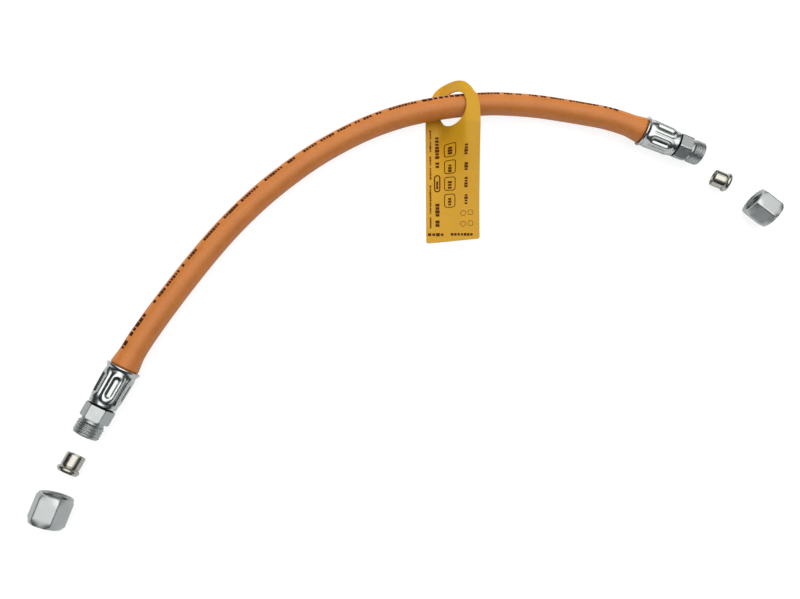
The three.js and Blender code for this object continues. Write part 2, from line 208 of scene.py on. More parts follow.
def ring_grid(name, rings, lengths, sharp):
    """Join a closed run of rings of points into a skin.

    rings is an array of rings x sides x 3, lengths the distance along the skin at each ring and
    back at the first. The UV holds that distance and the share of a turn."""
    rings = np.asarray(rings, dtype=float)
    count, sides = rings.shape[:2]
    row = np.arange(count)[:, None]
    side = np.arange(sides)[None, :]
    after, beside = (row + 1) % count, (side + 1) % sides
    faces = np.stack(
        [row * sides + side, after * sides + side, after * sides + beside, row * sides + beside],
        axis=-1,
    ).reshape(-1, 4)
    along = np.asarray(lengths, dtype=float)
    turn = np.arange(sides) / sides
    uv = np.zeros((count, sides, 4, 2))
    uv[..., 0, 0] = uv[..., 3, 0] = along[:-1, None]
    uv[..., 1, 0] = uv[..., 2, 0] = along[1:, None]
    uv[..., 0, 1] = uv[..., 1, 1] = turn[None, :]
    uv[..., 2, 1] = uv[..., 3, 1] = turn[None, :] + 1 / sides
    return piece_of(name, rings.reshape(-1, 3), faces, uv.reshape(-1, 4, 2), sharp)


def dense(outline, step_at):
    """The closed outline of [radius, along] with extra points.

    step_at gives the longest step for a stretch from the radius and place of its middle."""
    result = []
    for start, end in zip(outline, outline[1:] + outline[:1]):
        step = step_at((start[0] + end[0]) / 2, (start[1] + end[1]) / 2)
        pieces = max(1, math.ceil(math.dist(start, end) / step))
        for part in range(pieces):
            share = part / pieces
            result.append([a + (b - a) * share for a, b in zip(start, end)])
    return result


def rounded(outline, radius, steps=3):
    """The closed outline with every corner eased over by the given radius."""
    result = []
    count = len(outline)
    for place, corner in enumerate(outline):
        corner = np.array(corner, dtype=float)
        before = np.array(outline[place - 1], dtype=float) - corner
        after = np.array(outline[(place + 1) % count], dtype=float) - corner
        # never more than 45% of an edge, so that the roundings at its two ends stay apart
        reach = min(radius, 0.45 * np.linalg.norm(before), 0.45 * np.linalg.norm(after))
        start = corner + before / np.linalg.norm(before) * reach
        end = corner + after / np.linalg.norm(after) * reach
        for step in range(steps + 1):
            t = step / steps
            result.append(list((1 - t) ** 2 * start + 2 * t * (1 - t) * corner + t * t * end))
    return result


def lathe(name, outline, sides, sharp, rule=None, first_turn=0.0):
    """Revolve a closed outline about Y; rule may change the radius at each turn and place."""
    points = np.array(outline, dtype=float)
    turn = first_turn + 2 * math.pi * np.arange(sides) / sides
    radius = np.repeat(points[:, :1], sides, axis=1)
    along = np.repeat(points[:, 1:], sides, axis=1)
    if rule is not None:
        radius = rule(turn[None, :], along, radius)
    rings = np.stack([radius * np.sin(turn), along, radius * np.cos(turn)], axis=-1)
    steps = np.linalg.norm(points - np.roll(points, -1, axis=0), axis=1)
    lengths = np.concatenate([[0], np.cumsum(steps)])
    return ring_grid(name, rings, lengths, sharp)


def end_matrix(side):
    """Y points out along the fitting, and the origin is the ferrule's end beside the hexagon."""
    azimuth = END_AZIMUTH[side]
    x, y, z = MOUTH[side]
    place = Vector((
        x + FERRULE_LENGTH * math.cos(azimuth), y + FERRULE_LENGTH * math.sin(azimuth), z,
    ))
    return Matrix.Translation(place * MM) @ Matrix.Rotation(azimuth - math.pi / 2, 4, "Z")


def softer_of(first, second, blend):
    """The smaller of two radii, with the edge where they meet eased over."""
    return -blend * np.logaddexp(-first / blend, -second / blend)


def hexagon_radius(turn, across, first_flat):
    """Radius of a hexagon of that width across its flats, one of which faces the first turn."""
    from_flat = (turn - first_flat + math.pi / 6) % (math.pi / 3) - math.pi / 6
    return across / 2 / np.cos(from_flat)


def empty_piece(name):
    return linked(name, bpy.data.meshes.new(name))


def joined(name, items, material):
    """One piece out of several, all in one material."""
    work = bmesh.new()
    for item in items:
        work.from_mesh(item.data)
        bpy.data.objects.remove(item)
    for face in work.faces:
        face.material_index = 0
    whole = empty_piece(name)
    work.to_mesh(whole.data)
    work.free()
    whole.data.materials.append(material)
    return whole


def add(tree, kind, values=None, **settings):
    """Add a node; its inputs, by name or number, take plain values, sockets or nodes."""
    node = tree.nodes.new(kind)
    for name, value in settings.items():
        setattr(node, name, value)
    for place, value in (values or {}).items():
        if isinstance(value, bpy.types.Node):
            value = value.outputs[0]
        if isinstance(value, bpy.types.NodeSocket):
            tree.links.new(value, node.inputs[place])
        else:
            node.inputs[place].default_value = value
    return node


def rule_tree(name, inputs):
    """An empty geometry tree with the named inputs, its Group Input and its Group Output."""
    tree = bpy.data.node_groups.new(name, "GeometryNodeTree")
    tree.interface.new_socket("Geometry", in_out="INPUT", socket_type="NodeSocketGeometry")
    for label, kind in inputs.items():
        tree.interface.new_socket(label, in_out="INPUT", socket_type="NodeSocket" + kind)
    tree.interface.new_socket("Geometry", in_out="OUTPUT", socket_type="NodeSocketGeometry")
    return tree, add(tree, "NodeGroupInput").outputs, add(tree, "NodeGroupOutput").inputs


def finish_tree(tree, geometry, skin, result):
    """Make the geometry real, give it its material and hand it out."""
    real = add(tree, "GeometryNodeRealizeInstances", {"Geometry": geometry})
    skinned = add(tree, "GeometryNodeSetMaterial", {"Geometry": real, "Material": skin})
    tree.links.new(skinned.outputs[0], result["Geometry"])
    return tree


def settle(item, tree=None, values=None):
    """Run the tree, or the piece's own modifiers, and keep the result as its plain mesh."""
    if tree is not None:
        modifier = item.modifiers.new(tree.name, "NODES")
        modifier.node_group = tree
        for socket in tree.interface.items_tree:
            if socket.in_out == "INPUT" and socket.name in values:
                modifier[socket.identifier] = values[socket.name]
    depsgraph = bpy.context.evaluated_depsgraph_get()
    depsgraph.update()
    mesh = bpy.data.meshes.new_from_object(item.evaluated_get(depsgraph), depsgraph=depsgraph)
    item.modifiers.clear()
    mesh.name = item.name
    item.data = mesh
    return item


def linear(colour):
    """sRGB hex to linear, with alpha."""
    channels = [int(colour[place:place + 2], 16) / 255 for place in (1, 3, 5)]
    return [c / 12.92 if c <= 0.04045 else ((c + 0.055) / 1.055) ** 2.4 for c in channels] + [1.0]


def new_material(name, **shader):
    """A material with one Principled shader; the settings are the shader's own inputs."""
    material = bpy.data.materials.new(name)
    material.use_nodes = True
    tree = material.node_tree
    tree.nodes.clear()
    principled = add(tree, "ShaderNodeBsdfPrincipled", {
        label.replace("_", " "): value for label, value in shader.items()
    })
    add(tree, "ShaderNodeOutputMaterial", {"Surface": principled})
    return material, tree, principled.inputs


def hose_rubber():
    """Extruded synthetic rubber, vulcanised in a wrap: matt with a soft sheen, a little cloudy in
    colour, and with very fine lines along the hose."""
    material, tree, skin = new_material(
        "extruded_orange_rubber", IOR=1.5, Specular_IOR_Level=0.55,
    )
    uv = add(tree, "ShaderNodeUVMap", uv_map="surface")
    place = add(tree, "ShaderNodeTexCoord").outputs["Object"]
    # 12 mm clouds in the pigment, and 0.9 mm grain
    clouds = add(tree, "ShaderNodeTexNoise", {
        "Vector": place, "Scale": 1 / (12 * MM), "Detail": 3, "Roughness": 0.6})
    grain = add(tree, "ShaderNodeTexNoise", {
        "Vector": place, "Scale": 1 / (0.9 * MM), "Detail": 2, "Roughness": 0.5})
    # lines 0.6 mm apart round the hose (41.8 mm girth), 30 mm long; finer ones don't show
    stretch = add(tree, "ShaderNodeMapping", {"Vector": uv, "Scale": (1 / 30, 70, 1)})
    lines = add(tree, "ShaderNodeTexNoise", {
        "Vector": stretch, "Scale": 1.0, "Detail": 2, "Roughness": 0.5})
    base = add(tree, "ShaderNodeMix", {
        0: clouds, 6: linear("#c36d27"), 7: linear("#d7863a")}, data_type="RGBA")
    # the grain and the lines each change the tone by at most 7% down and 4% up
    speck = add(tree, "ShaderNodeMapRange", {0: grain, 1: 0.35, 2: 0.65, 3: 0.93, 4: 1.04})
    streak = add(tree, "ShaderNodeMapRange", {0: lines, 1: 0.3, 2: 0.7, 3: 0.95, 4: 1.03})
    both = add(tree, "ShaderNodeMath", {0: speck, 1: streak}, operation="MULTIPLY")
    shade = add(tree, "ShaderNodeVectorMath", {
        0: base.outputs[2], "Scale": both}, operation="SCALE")
    tree.links.new(shade.outputs[0], skin["Base Color"])
    rough = add(tree, "ShaderNodeMapRange", {0: clouds, 1: 0.3, 2: 0.7, 3: 0.42, 4: 0.55})
    tree.links.new(rough.outputs[0], skin["Roughness"])
    height = add(tree, "ShaderNodeMath", {0: grain, 1: lines}, operation="ADD")
    bump = add(tree, "ShaderNodeBump", {"Height": height, "Strength": 0.25, "Distance": 0.05 * MM})
    tree.links.new(bump.outputs[0], skin["Normal"])
    return material


def tag_plastic():
    """Stamped polyethylene sheet: satin, faintly cloudy, its colour slightly deeper in patches."""
    material, tree, skin = new_material(
        "stamped_yellow_polyethylene", IOR=1.51, Specular_IOR_Level=0.3,
    )
    place = add(tree, "ShaderNodeTexCoord").outputs["Object"]
    # 15 mm flow clouds, and 0.5 mm sheet grain
    clouds = add(tree, "ShaderNodeTexNoise", {
        "Vector": place, "Scale": 1 / (15 * MM), "Detail": 2, "Roughness": 0.5})
    grain = add(tree, "ShaderNodeTexNoise", {
        "Vector": place, "Scale": 1 / (0.5 * MM), "Detail": 2, "Roughness": 0.6})
    base = add(tree, "ShaderNodeMix", {
        0: clouds, 6: linear("#cb9717"), 7: linear("#d6a020")}, data_type="RGBA")
    tree.links.new(base.outputs[2], skin["Base Color"])
    rough = add(tree, "ShaderNodeMapRange", {0: grain, 1: 0.3, 2: 0.7, 3: 0.36, 4: 0.5})
    tree.links.new(rough.outputs[0], skin["Roughness"])
    bump = add(tree, "ShaderNodeBump", {"Height": grain, "Strength": 0.2, "Distance": 0.03 * MM})
    tree.links.new(bump.outputs[0], skin["Normal"])
    return material


def metal(name, dark, light, rough, groove, groove_depth, blotch):
    """A metal skin: blotches of tone and gloss, and fine grooves that run round the piece.

    The grooves' spacing and depth and the blotches' size are in mm."""
    material, tree, skin = new_material(name, Metallic=1.0)
    uv = add(tree, "ShaderNodeUVMap", uv_map="surface")
    place = add(tree, "ShaderNodeTexCoord").outputs["Object"]
    cloud = add(tree, "ShaderNodeTexNoise", {
        "Vector": place, "Scale": 1 / (blotch * MM), "Detail": 4, "Roughness": 0.6})
    stretch = add(tree, "ShaderNodeMapping", {"Vector": uv, "Scale": (1 / groove, 3, 1)})
    lines = add(tree, "ShaderNodeTexNoise", {
        "Vector": stretch, "Scale": 1.0, "Detail": 2, "Roughness": 0.7})
    base = add(tree, "ShaderNodeMix", {
        0: cloud, 6: linear(dark), 7: linear(light)}, data_type="RGBA")
    tree.links.new(base.outputs[2], skin["Base Color"])
    gloss = add(tree, "ShaderNodeMapRange", {
        0: cloud, 1: 0.3, 2: 0.7, 3: rough * 0.9, 4: rough * 1.15})
    tree.links.new(gloss.outputs[0], skin["Roughness"])
    bump = add(tree, "ShaderNodeBump", {
        "Height": lines, "Strength": 0.4, "Distance": groove_depth * MM})
    tree.links.new(bump.outputs[0], skin["Normal"])
    return material


def zinc_bright():
    """Deep-drawn steel with bright blue-passivated zinc: near mirror, faint die lines."""
    return metal("bright_zinc_on_pressed_steel", "#b0b5b6", "#c2c5c2", 0.25, 0.5, 0.0015, 4)


def zinc_satin():
    """Turned and milled steel with satin zinc plating: cutter lines about 0.25 mm apart, coarser
    than real ones, which don't show."""
    return metal("satin_zinc_on_turned_steel", "#a0a6a8", "#b4b8b6", 0.4, 0.25, 0.004, 2.5)


def zinc_milled():
    """Cold-forged nuts, milled and zinc plated: a little lighter, almost without lines."""
    return metal("satin_zinc_on_forged_steel", "#adb2b4", "#c3c6c4", 0.4, 0.3, 0.003, 3)


def steel_bright():
    """Hardened and burnished steel: smooth, warmer and darker than the zinc."""
    return metal("burnished_hardened_steel", "#a5a39b", "#b9b6ac", 0.24, 0.3, 0.004, 3)


def steel_painted_seam_shade():
    """Steel in the seam behind the hexagon, near black: painted shade of the deep, narrow seam."""
    return metal("oily_bare_steel", "#201f1e", "#2e2d2a", 0.45, 0.3, 0.01, 1.5)


def printing_ink(name, thin, thick):
    """Rolled-on ink, dark brown, thinner and lighter in spots where it skipped."""
    material, tree, skin = new_material(name, Roughness=0.7, IOR=1.5, Specular_IOR_Level=0.15)
    place = add(tree, "ShaderNodeTexCoord").outputs["Object"]
    spots = add(tree, "ShaderNodeTexNoise", {
        "Vector": place, "Scale": 1 / (0.7 * MM), "Detail": 3, "Roughness": 0.7})
    base = add(tree, "ShaderNodeMix", {
        0: spots, 6: linear(thick), 7: linear(thin)}, data_type="RGBA")
    tree.links.new(base.outputs[2], skin["Base Color"])
    return material


def spline_through(points, per_stretch):
    """Smooth line through the points, the centripetal Catmull-Rom curve that the solid follows."""
    points = [np.array(point, dtype=float) for point in points]
    points = [2 * points[0] - points[1]] + points + [2 * points[-1] - points[-2]]
    line = []
    for p0, p1, p2, p3 in zip(points, points[1:], points[2:], points[3:]):
        d0, d1, d2 = (math.sqrt(np.linalg.norm(b - a)) for a, b in ((p0, p1), (p1, p2), (p2, p3)))
        t1 = ((p1 - p0) / d0 - (p2 - p0) / (d0 + d1) + (p2 - p1) / d1) * d1
        t2 = ((p2 - p1) / d1 - (p3 - p1) / (d1 + d2) + (p3 - p2) / d2) * d1
        for step in range(per_stretch):
            t = step / per_stretch
            line.append(
                p1 + t1 * t + (3 * (p2 - p1) - 2 * t1 - t2) * t ** 2
                + (2 * (p1 - p2) + t1 + t2) * t ** 3
            )
    return np.array(line + [points[-2]])


def measured(line):
    """Distance along a line at each of its points."""
    return np.concatenate([[0], np.cumsum(np.linalg.norm(np.diff(line, axis=0), axis=1))])


def hose_line():
    """The whole middle line, with its stubs inside the ferrules, and its distance from mouth a."""
    steps = 24
    free = spline_through(ROUTE, steps)
    out_a, out_b = (
        np.array((math.cos(END_AZIMUTH[side]), math.sin(END_AZIMUTH[side]), 0)) for side in "ab"
    )
    stub = np.linspace(STUB_LENGTH, 0, steps, endpoint=False)[:, None]
    line = np.concatenate([free[0] + out_a * stub, free, free[-1] + out_b * stub[::-1]])
    return line, measured(line) - STUB_LENGTH


def hose_skin_radius(distance):
    """Radius of the hose at a distance outside the nearer ferrule's mouth, negative inside it."""
    squeeze = HOSE_SQUEEZE * np.clip((-SQUEEZE_START - distance) / SQUEEZE_LENGTH, 0, 1)
    share = np.clip((distance - BULGE_START) / BULGE_LENGTH, 0, 1)
    swell = BULGE_RISE * (1 - share) ** 2 * (1 + share)
    out = np.clip((distance - BULGE_EDGE_START) / BULGE_EDGE_LENGTH, 0, 1)
    rise = np.sqrt(np.clip(1 - (1 - out) ** 2, 0, 1))
    return HOSE_RADIUS - squeeze + swell * rise


def hose():
    """The tube with its bore, squeezed inside the ferrules and swollen outside them."""
    line, distance = hose_line()
    free_length = distance[-1] - STUB_LENGTH
    # rings stand far apart in the ferrules, close together near their mouths, and between
    # these ends a little further apart
    deep, near_mouth, past_bulge = -3.2, -2.9, 12
    coarse = np.arange(past_bulge, free_length - past_bulge, 1.5)
    fine = np.concatenate([
        np.linspace(-STUB_LENGTH, deep, 8), np.arange(near_mouth, past_bulge, 0.25),
    ])
    stations = np.concatenate([fine, coarse, free_length - fine[::-1]])
    tangent = np.gradient(line, distance, axis=0)
    centre, heading = (
        np.stack([np.interp(stations, distance, values[:, axis]) for axis in range(3)], axis=1)
        for values in (line, tangent)
    )
    heading /= np.linalg.norm(heading, axis=1, keepdims=True)
    across = np.cross(heading, (0, 0, 1))
    across /= np.linalg.norm(across, axis=1, keepdims=True)
    above = np.cross(across, heading)
    from_mouth = np.minimum(stations, free_length - stations)
    outer = hose_skin_radius(from_mouth)
    stretched = np.clip((-STRETCH_START - from_mouth) / STRETCH_LENGTH, 0, 1)
    inner = HOSE_BORE_RADIUS + (TAIL_HOLE_RADIUS - HOSE_BORE_RADIUS) * stretched
    turn = 2 * math.pi * np.arange(HOSE_SIDES) / HOSE_SIDES
    sideways, upwards = np.cos(turn)[None, :, None], np.sin(turn)[None, :, None]
    ring = across[:, None] * sideways + above[:, None] * upwards
    outside = centre[:, None] + ring * outer[:, None, None]
    inside = centre[:, None] + ring * inner[:, None, None]
    # the bore needs only every fourth ring, and the last
    keep = np.unique(np.concatenate([np.arange(0, len(stations), 4), [len(stations) - 1]]))[::-1]
    rings = np.concatenate([outside, inside[keep]])
    lengths = np.concatenate([stations, stations[keep], stations[:1]])
    item = ring_grid("rubber_hose", rings, lengths, sharp=50)
    item.data.materials.append(hose_rubber())
    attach(item, "hose_set")
    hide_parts("hose")
    return line


camera()
hose_path = hose()


def row_of_marks():
    """A row of thin blocks along X from the origin, of which a share is shown.

    Each takes 60 to 95% of the pitch and 75 to 100% of the height."""
    tree, given, result = rule_tree("row_of_marks", {
        "Length": "Float", "Pitch": "Float", "Height": "Float", "Thickness": "Float",
        "Share": "Float", "Seed": "Int", "Ink": "Material",
    })
    count = add(tree, "ShaderNodeMath", {
        0: given["Length"], 1: given["Pitch"]}, operation="DIVIDE")
    step = add(tree, "ShaderNodeCombineXYZ", {"X": given["Pitch"]})
    line = add(tree, "GeometryNodeMeshLine", {"Count": count, "Offset": step})
    block = add(tree, "GeometryNodeMeshCube", {
        "Size": (1, 1, 1), "Vertices X": 5, "Vertices Y": 4, "Vertices Z": 2})
    shown = add(tree, "FunctionNodeRandomValue", {
        "Probability": given["Share"], "Seed": given["Seed"]}, data_type="BOOLEAN")
    width = add(tree, "FunctionNodeRandomValue", {2: 0.6, 3: 0.95, "Seed": given["Seed"]})
    wide = add(tree, "ShaderNodeMath", {
        0: width.outputs[1], 1: given["Pitch"]}, operation="MULTIPLY")
    tall = add(tree, "FunctionNodeRandomValue", {2: 0.75, 3: 1.0, "Seed": given["Seed"]})
    high = add(tree, "ShaderNodeMath", {
        0: tall.outputs[1], 1: given["Height"]}, operation="MULTIPLY")
    size = add(tree, "ShaderNodeCombineXYZ", {"X": wide, "Y": high, "Z": given["Thickness"]})
    marks = add(tree, "GeometryNodeInstanceOnPoints", {
        "Points": line, "Selection": shown.outputs[3], "Instance": block, "Scale": size})
    return finish_tree(tree, marks, given["Ink"], result)


def wrap_on_hose():
    """Bend a flat layout onto the hose: X runs along it, Y round it, Z out of it."""
    tree, given, result = rule_tree("wrap_on_hose", {
        "Path": "Object", "Start": "Float", "Turn": "Float", "Radius": "Float", "Ink": "Material"})
    flat = add(tree, "ShaderNodeSeparateXYZ", {0: add(tree, "GeometryNodeInputPosition")}).outputs
    path = add(tree, "GeometryNodeObjectInfo", {"Object": given["Path"]}).outputs["Geometry"]
    along = add(tree, "ShaderNodeMath", {0: flat["X"], 1: given["Start"]}, operation="ADD")
    sample = add(tree, "GeometryNodeSampleCurve", {
        "Curves": path, "Length": along}, mode="LENGTH", use_all_curves=True)
    centre, heading = sample.outputs["Position"], sample.outputs["Tangent"]
    across = add(tree, "ShaderNodeVectorMath", {
        0: (0, 0, 1), 1: heading}, operation="CROSS_PRODUCT")
    level = add(tree, "ShaderNodeVectorMath", {0: across}, operation="NORMALIZE")
    above = add(tree, "ShaderNodeVectorMath", {0: heading, 1: level}, operation="CROSS_PRODUCT")
    roll = add(tree, "ShaderNodeMath", {0: flat["Y"], 1: given["Radius"]}, operation="DIVIDE")
    turn = add(tree, "ShaderNodeMath", {0: roll, 1: given["Turn"]}, operation="ADD")
    out = add(tree, "ShaderNodeMath", {0: flat["Z"], 1: given["Radius"]}, operation="ADD")
    sideways = add(tree, "ShaderNodeMath", {0: turn}, operation="COSINE")
    upwards = add(tree, "ShaderNodeMath", {0: turn}, operation="SINE")
    side_part = add(tree, "ShaderNodeVectorMath", {0: level, "Scale": sideways}, operation="SCALE")
    up_part = add(tree, "ShaderNodeVectorMath", {0: above, "Scale": upwards}, operation="SCALE")
    normal = add(tree, "ShaderNodeVectorMath", {0: side_part, 1: up_part}, operation="ADD")
    reach = add(tree, "ShaderNodeVectorMath", {0: normal, "Scale": out}, operation="SCALE")
    spot = add(tree, "ShaderNodeVectorMath", {0: centre, 1: reach}, operation="ADD")
    moved = add(tree, "GeometryNodeSetPosition", {"Geometry": given["Geometry"], "Position": spot})
    return finish_tree(tree, moved, given["Ink"], result)


def row_of_frames():
    """A row of thin frames with rounded corners, side by side along X from the origin."""
    tree, given, result = rule_tree("row_of_frames", {
        "Count": "Int", "Pitch": "Float", "Width": "Float", "Height": "Float", "Corner": "Float",
        "Line": "Float", "Thickness": "Float", "Ink": "Material",
    })
    step = add(tree, "ShaderNodeCombineXYZ", {"X": given["Pitch"]})
    line = add(tree, "GeometryNodeMeshLine", {"Count": given["Count"], "Offset": step})
    box = add(tree, "GeometryNodeCurvePrimitiveQuadrilateral", {
        "Width": given["Width"], "Height": given["Height"]})
    eased_box = add(tree, "GeometryNodeFilletCurve", {
        "Curve": box, "Radius": given["Corner"], "Count": 8, "Limit Radius": True}, mode="POLY")
    # the same even points round each frame, so that it can follow the sheet
    even = add(tree, "GeometryNodeResampleCurve", {"Curve": eased_box, "Count": 48})
    stroke = add(tree, "GeometryNodeCurvePrimitiveQuadrilateral", {
        "Width": given["Line"], "Height": given["Thickness"]})
    frame_mesh = add(tree, "GeometryNodeCurveToMesh", {"Curve": even, "Profile Curve": stroke})
    frames = add(tree, "GeometryNodeInstanceOnPoints", {"Points": line, "Instance": frame_mesh})
    return finish_tree(tree, frames, given["Ink"], result)


def lay_on_sheet():
    """Turn a flat layout about Z, move it to its place and let it down onto a sheet."""
    tree, given, result = rule_tree("lay_on_sheet", {
        "Sheet": "Object", "Place": "Vector", "Turn": "Float", "Ink": "Material"})
    flat = add(tree, "GeometryNodeInputPosition")
    turned = add(tree, "ShaderNodeVectorRotate", {
        "Vector": flat, "Angle": given["Turn"]}, rotation_type="Z_AXIS")
    spot = add(tree, "ShaderNodeVectorMath", {0: turned, 1: given["Place"]}, operation="ADD")
    # the rays start 50 mm up
    start = add(tree, "ShaderNodeVectorMath", {
        0: spot, 1: (1, 1, 0), 2: (0, 0, 50 * MM)}, operation="MULTIPLY_ADD")
    sheet = add(tree, "GeometryNodeObjectInfo", {"Object": given["Sheet"]}).outputs["Geometry"]
    ray = add(tree, "GeometryNodeRaycast", {
        "Target Geometry": sheet, "Source Position": start, "Ray Direction": (0, 0, -1),
        "Ray Length": 100 * MM}).outputs
    above = add(tree, "ShaderNodeSeparateXYZ", {0: flat}).outputs["Z"]
    lift = add(tree, "ShaderNodeVectorMath", {
        0: ray["Hit Normal"], "Scale": above}, operation="SCALE")
    landed = add(tree, "ShaderNodeVectorMath", {0: ray["Hit Position"], 1: lift}, operation="ADD")
    moved = add(tree, "GeometryNodeSetPosition", {
        "Geometry": given["Geometry"], "Position": landed})
    return finish_tree(tree, moved, given["Ink"], result)


def hose_print(rows):
    """Generic marks printed along the side of the hose that faces away from the table's middle."""
    curve = bpy.data.curves.new("hose_middle", "CURVE")
    curve.dimensions = "3D"
    spline = curve.splines.new("POLY")
    spline.points.add(len(hose_path) - 1)
    spline.points.foreach_set("co", np.c_[hose_path * MM, np.ones(len(hose_path))].ravel())
    middle = linked("hose_middle", curve)
    ink = printing_ink("rolled_brown_ink_on_rubber", "#4a2210", "#2c130a")
    wrap = wrap_on_hose()
    # where each group of marks starts, its turn above level, its length, the pitch and height of
    # its marks, its seed
    groups = [
        (6, 46, 9, 2.9, 3.2, 4), (17, 46, 15, 2.8, 3.2, 9), (35, 48, 4, 2.0, 2.4, 3),
        (41, 49, 6, 2.0, 2.4, 5), (48, 50, 11, 1.8, 2.4, 6), (61, 50, 3, 1.8, 2.4, 7),
        (66, 51, 10, 1.8, 2.4, 8), (79, 51, 13, 1.8, 2.4, 10), (95, 51, 11, 1.8, 2.4, 11),
        (108, 52, 14, 1.8, 2.4, 12), (125, 52, 13, 1.8, 2.4, 13), (141, 52, 6, 1.8, 2.4, 14),
        (150, 52, 11, 1.8, 2.4, 15), (163, 52, 9, 1.8, 2.4, 16), (174, 52, 9, 1.8, 2.4, 17),
        (185, 52, 11, 1.8, 2.4, 18), (198, 52, 5, 1.8, 2.4, 19), (206, 52, 17, 1.8, 2.4, 20),
        (226, 48, 28, 3.2, 3.2, 21), (258, 50, 13, 1.8, 2.3, 22), (273, 50, 12, 1.8, 2.3, 23),
        (288, 50, 11, 1.8, 2.3, 24), (301, 50, 10, 1.8, 2.3, 25), (313, 50, 18, 1.8, 2.3, 26),
        (334, 50, 10, 3.0, 3.0, 27),
    ]
    items = []
    for start, turn, length, pitch, height, seed in groups:
        item = empty_piece("marks")
        settle(item, rows, {
            "Length": length * MM, "Pitch": pitch * MM, "Height": height * MM,
            "Thickness": INK_THICKNESS * MM, "Share": 0.95, "Seed": seed, "Ink": ink})
        settle(item, wrap, {
            "Path": middle, "Start": (start + STUB_LENGTH) * MM, "Turn": math.radians(turn),
            "Radius": HOSE_RADIUS * MM, "Ink": ink})
        items.append(item)
    marks = joined("hose_print", items, ink)
    bpy.data.objects.remove(middle)
    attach(marks, "hose_set")


mark_rows = row_of_marks()
hose_print(mark_rows)


def about_axis(tree):
    """For every point: its turn about Y, its place along it, its radius, and the way outwards."""
    place = add(tree, "GeometryNodeInputPosition")
    spot = add(tree, "ShaderNodeSeparateXYZ", {0: place}).outputs
    turn = add(tree, "ShaderNodeMath", {0: spot["X"], 1: spot["Z"]}, operation="ARCTAN2")
    level = add(tree, "ShaderNodeVectorMath", {0: place, 1: (1, 0, 1)}, operation="MULTIPLY")
    radius = add(tree, "ShaderNodeVectorMath", {0: level}, operation="LENGTH").outputs["Value"]
    outwards = add(tree, "ShaderNodeVectorMath", {0: level}, operation="NORMALIZE")
    return turn, spot["Y"], radius, outwards


def press_pads():
    """Raise a crimped sleeve's pads by their rule: a rounded bar with a slot, repeated round."""
    tree, given, result = rule_tree("press_pads", {
        "Pads": "Int", "First Pad": "Float", "Middle": "Float", "Radius": "Float",
        "Least Radius": "Float", "Width": "Float", "Length": "Float", "Height": "Float",
        "Slot Width": "Float", "Slot Length": "Float", "Slot Depth": "Float", "Rim": "Float",
        "Slot Rim": "Float", "Skin": "Material",
    })
    turn, place, radius, outwards = about_axis(tree)
    from_first = add(tree, "ShaderNodeMath", {0: turn, 1: given["First Pad"]}, operation="SUBTRACT")
    half = add(tree, "ShaderNodeMath", {0: math.pi, 1: given["Pads"]}, operation="DIVIDE")
    other = add(tree, "ShaderNodeMath", {0: half, 1: -1.0}, operation="MULTIPLY")
    from_pad = add(tree, "ShaderNodeMath", {0: from_first, 1: half, 2: other}, operation="WRAP")
    side = add(tree, "ShaderNodeMath", {0: from_pad, 1: given["Radius"]}, operation="MULTIPLY")
    off = add(tree, "ShaderNodeMath", {0: place, 1: given["Middle"]}, operation="SUBTRACT")
    along = add(tree, "ShaderNodeMath", {0: off}, operation="ABSOLUTE")

    def inside_bar(width, length, rim):
        """1 inside a round-ended bar of that width and length, 0 outside, easing over its rim."""
        straight = add(tree, "ShaderNodeMath", {0: length, 1: width}, operation="SUBTRACT")
        end = add(tree, "ShaderNodeMath", {
            0: straight, 1: -0.5, 2: along}, operation="MULTIPLY_ADD")
        over = add(tree, "ShaderNodeMath", {0: end, 1: 0.0}, operation="MAXIMUM")
        reach = add(tree, "ShaderNodeCombineXYZ", {"X": over, "Y": side})
        away = add(tree, "ShaderNodeVectorMath", {0: reach}, operation="LENGTH")
        outer = add(tree, "ShaderNodeMath", {0: width, 1: 0.5, 2: rim}, operation="MULTIPLY_ADD")
        inner = add(tree, "ShaderNodeMath", {0: rim, 1: -2.0, 2: outer}, operation="MULTIPLY_ADD")
        return add(tree, "ShaderNodeMapRange", {
            0: away.outputs["Value"], 1: inner, 2: outer, 3: 1.0, 4: 0.0,
        }, interpolation_type="SMOOTHSTEP")

    pad = inside_bar(given["Width"], given["Length"], given["Rim"])
    slot = inside_bar(given["Slot Width"], given["Slot Length"], given["Slot Rim"])
    raised = add(tree, "ShaderNodeMath", {0: pad, 1: given["Height"]}, operation="MULTIPLY")
    sunk = add(tree, "ShaderNodeMath", {0: slot, 1: given["Slot Depth"]}, operation="MULTIPLY")
    lift = add(tree, "ShaderNodeMath", {0: raised, 1: sunk}, operation="SUBTRACT")
    outer = add(tree, "ShaderNodeMath", {
        0: radius, 1: given["Least Radius"]}, operation="GREATER_THAN")
    amount = add(tree, "ShaderNodeMath", {0: lift, 1: outer}, operation="MULTIPLY")
    push = add(tree, "ShaderNodeVectorMath", {0: outwards, "Scale": amount}, operation="SCALE")
    moved = add(tree, "GeometryNodeSetPosition", {"Geometry": given["Geometry"], "Offset": push})
    return finish_tree(tree, moved, given["Skin"], result)


def bare_between():
    """Give the faces between two places along the axis another skin; here it paints the seam's
    shade.
    """
    tree, given, result = rule_tree("bare_between", {
        "From": "Float", "To": "Float", "Skin": "Material"})
    place = about_axis(tree)[1]
    after = add(tree, "ShaderNodeMath", {0: place, 1: given["From"]}, operation="GREATER_THAN")
    before = add(tree, "ShaderNodeMath", {0: place, 1: given["To"]}, operation="LESS_THAN")
    both = add(tree, "ShaderNodeMath", {0: after, 1: before}, operation="MULTIPLY")
    skinned = add(tree, "GeometryNodeSetMaterial", {
        "Geometry": given["Geometry"], "Selection": both, "Material": given["Skin"]})
    tree.links.new(skinned.outputs[0], result["Geometry"])
    return tree


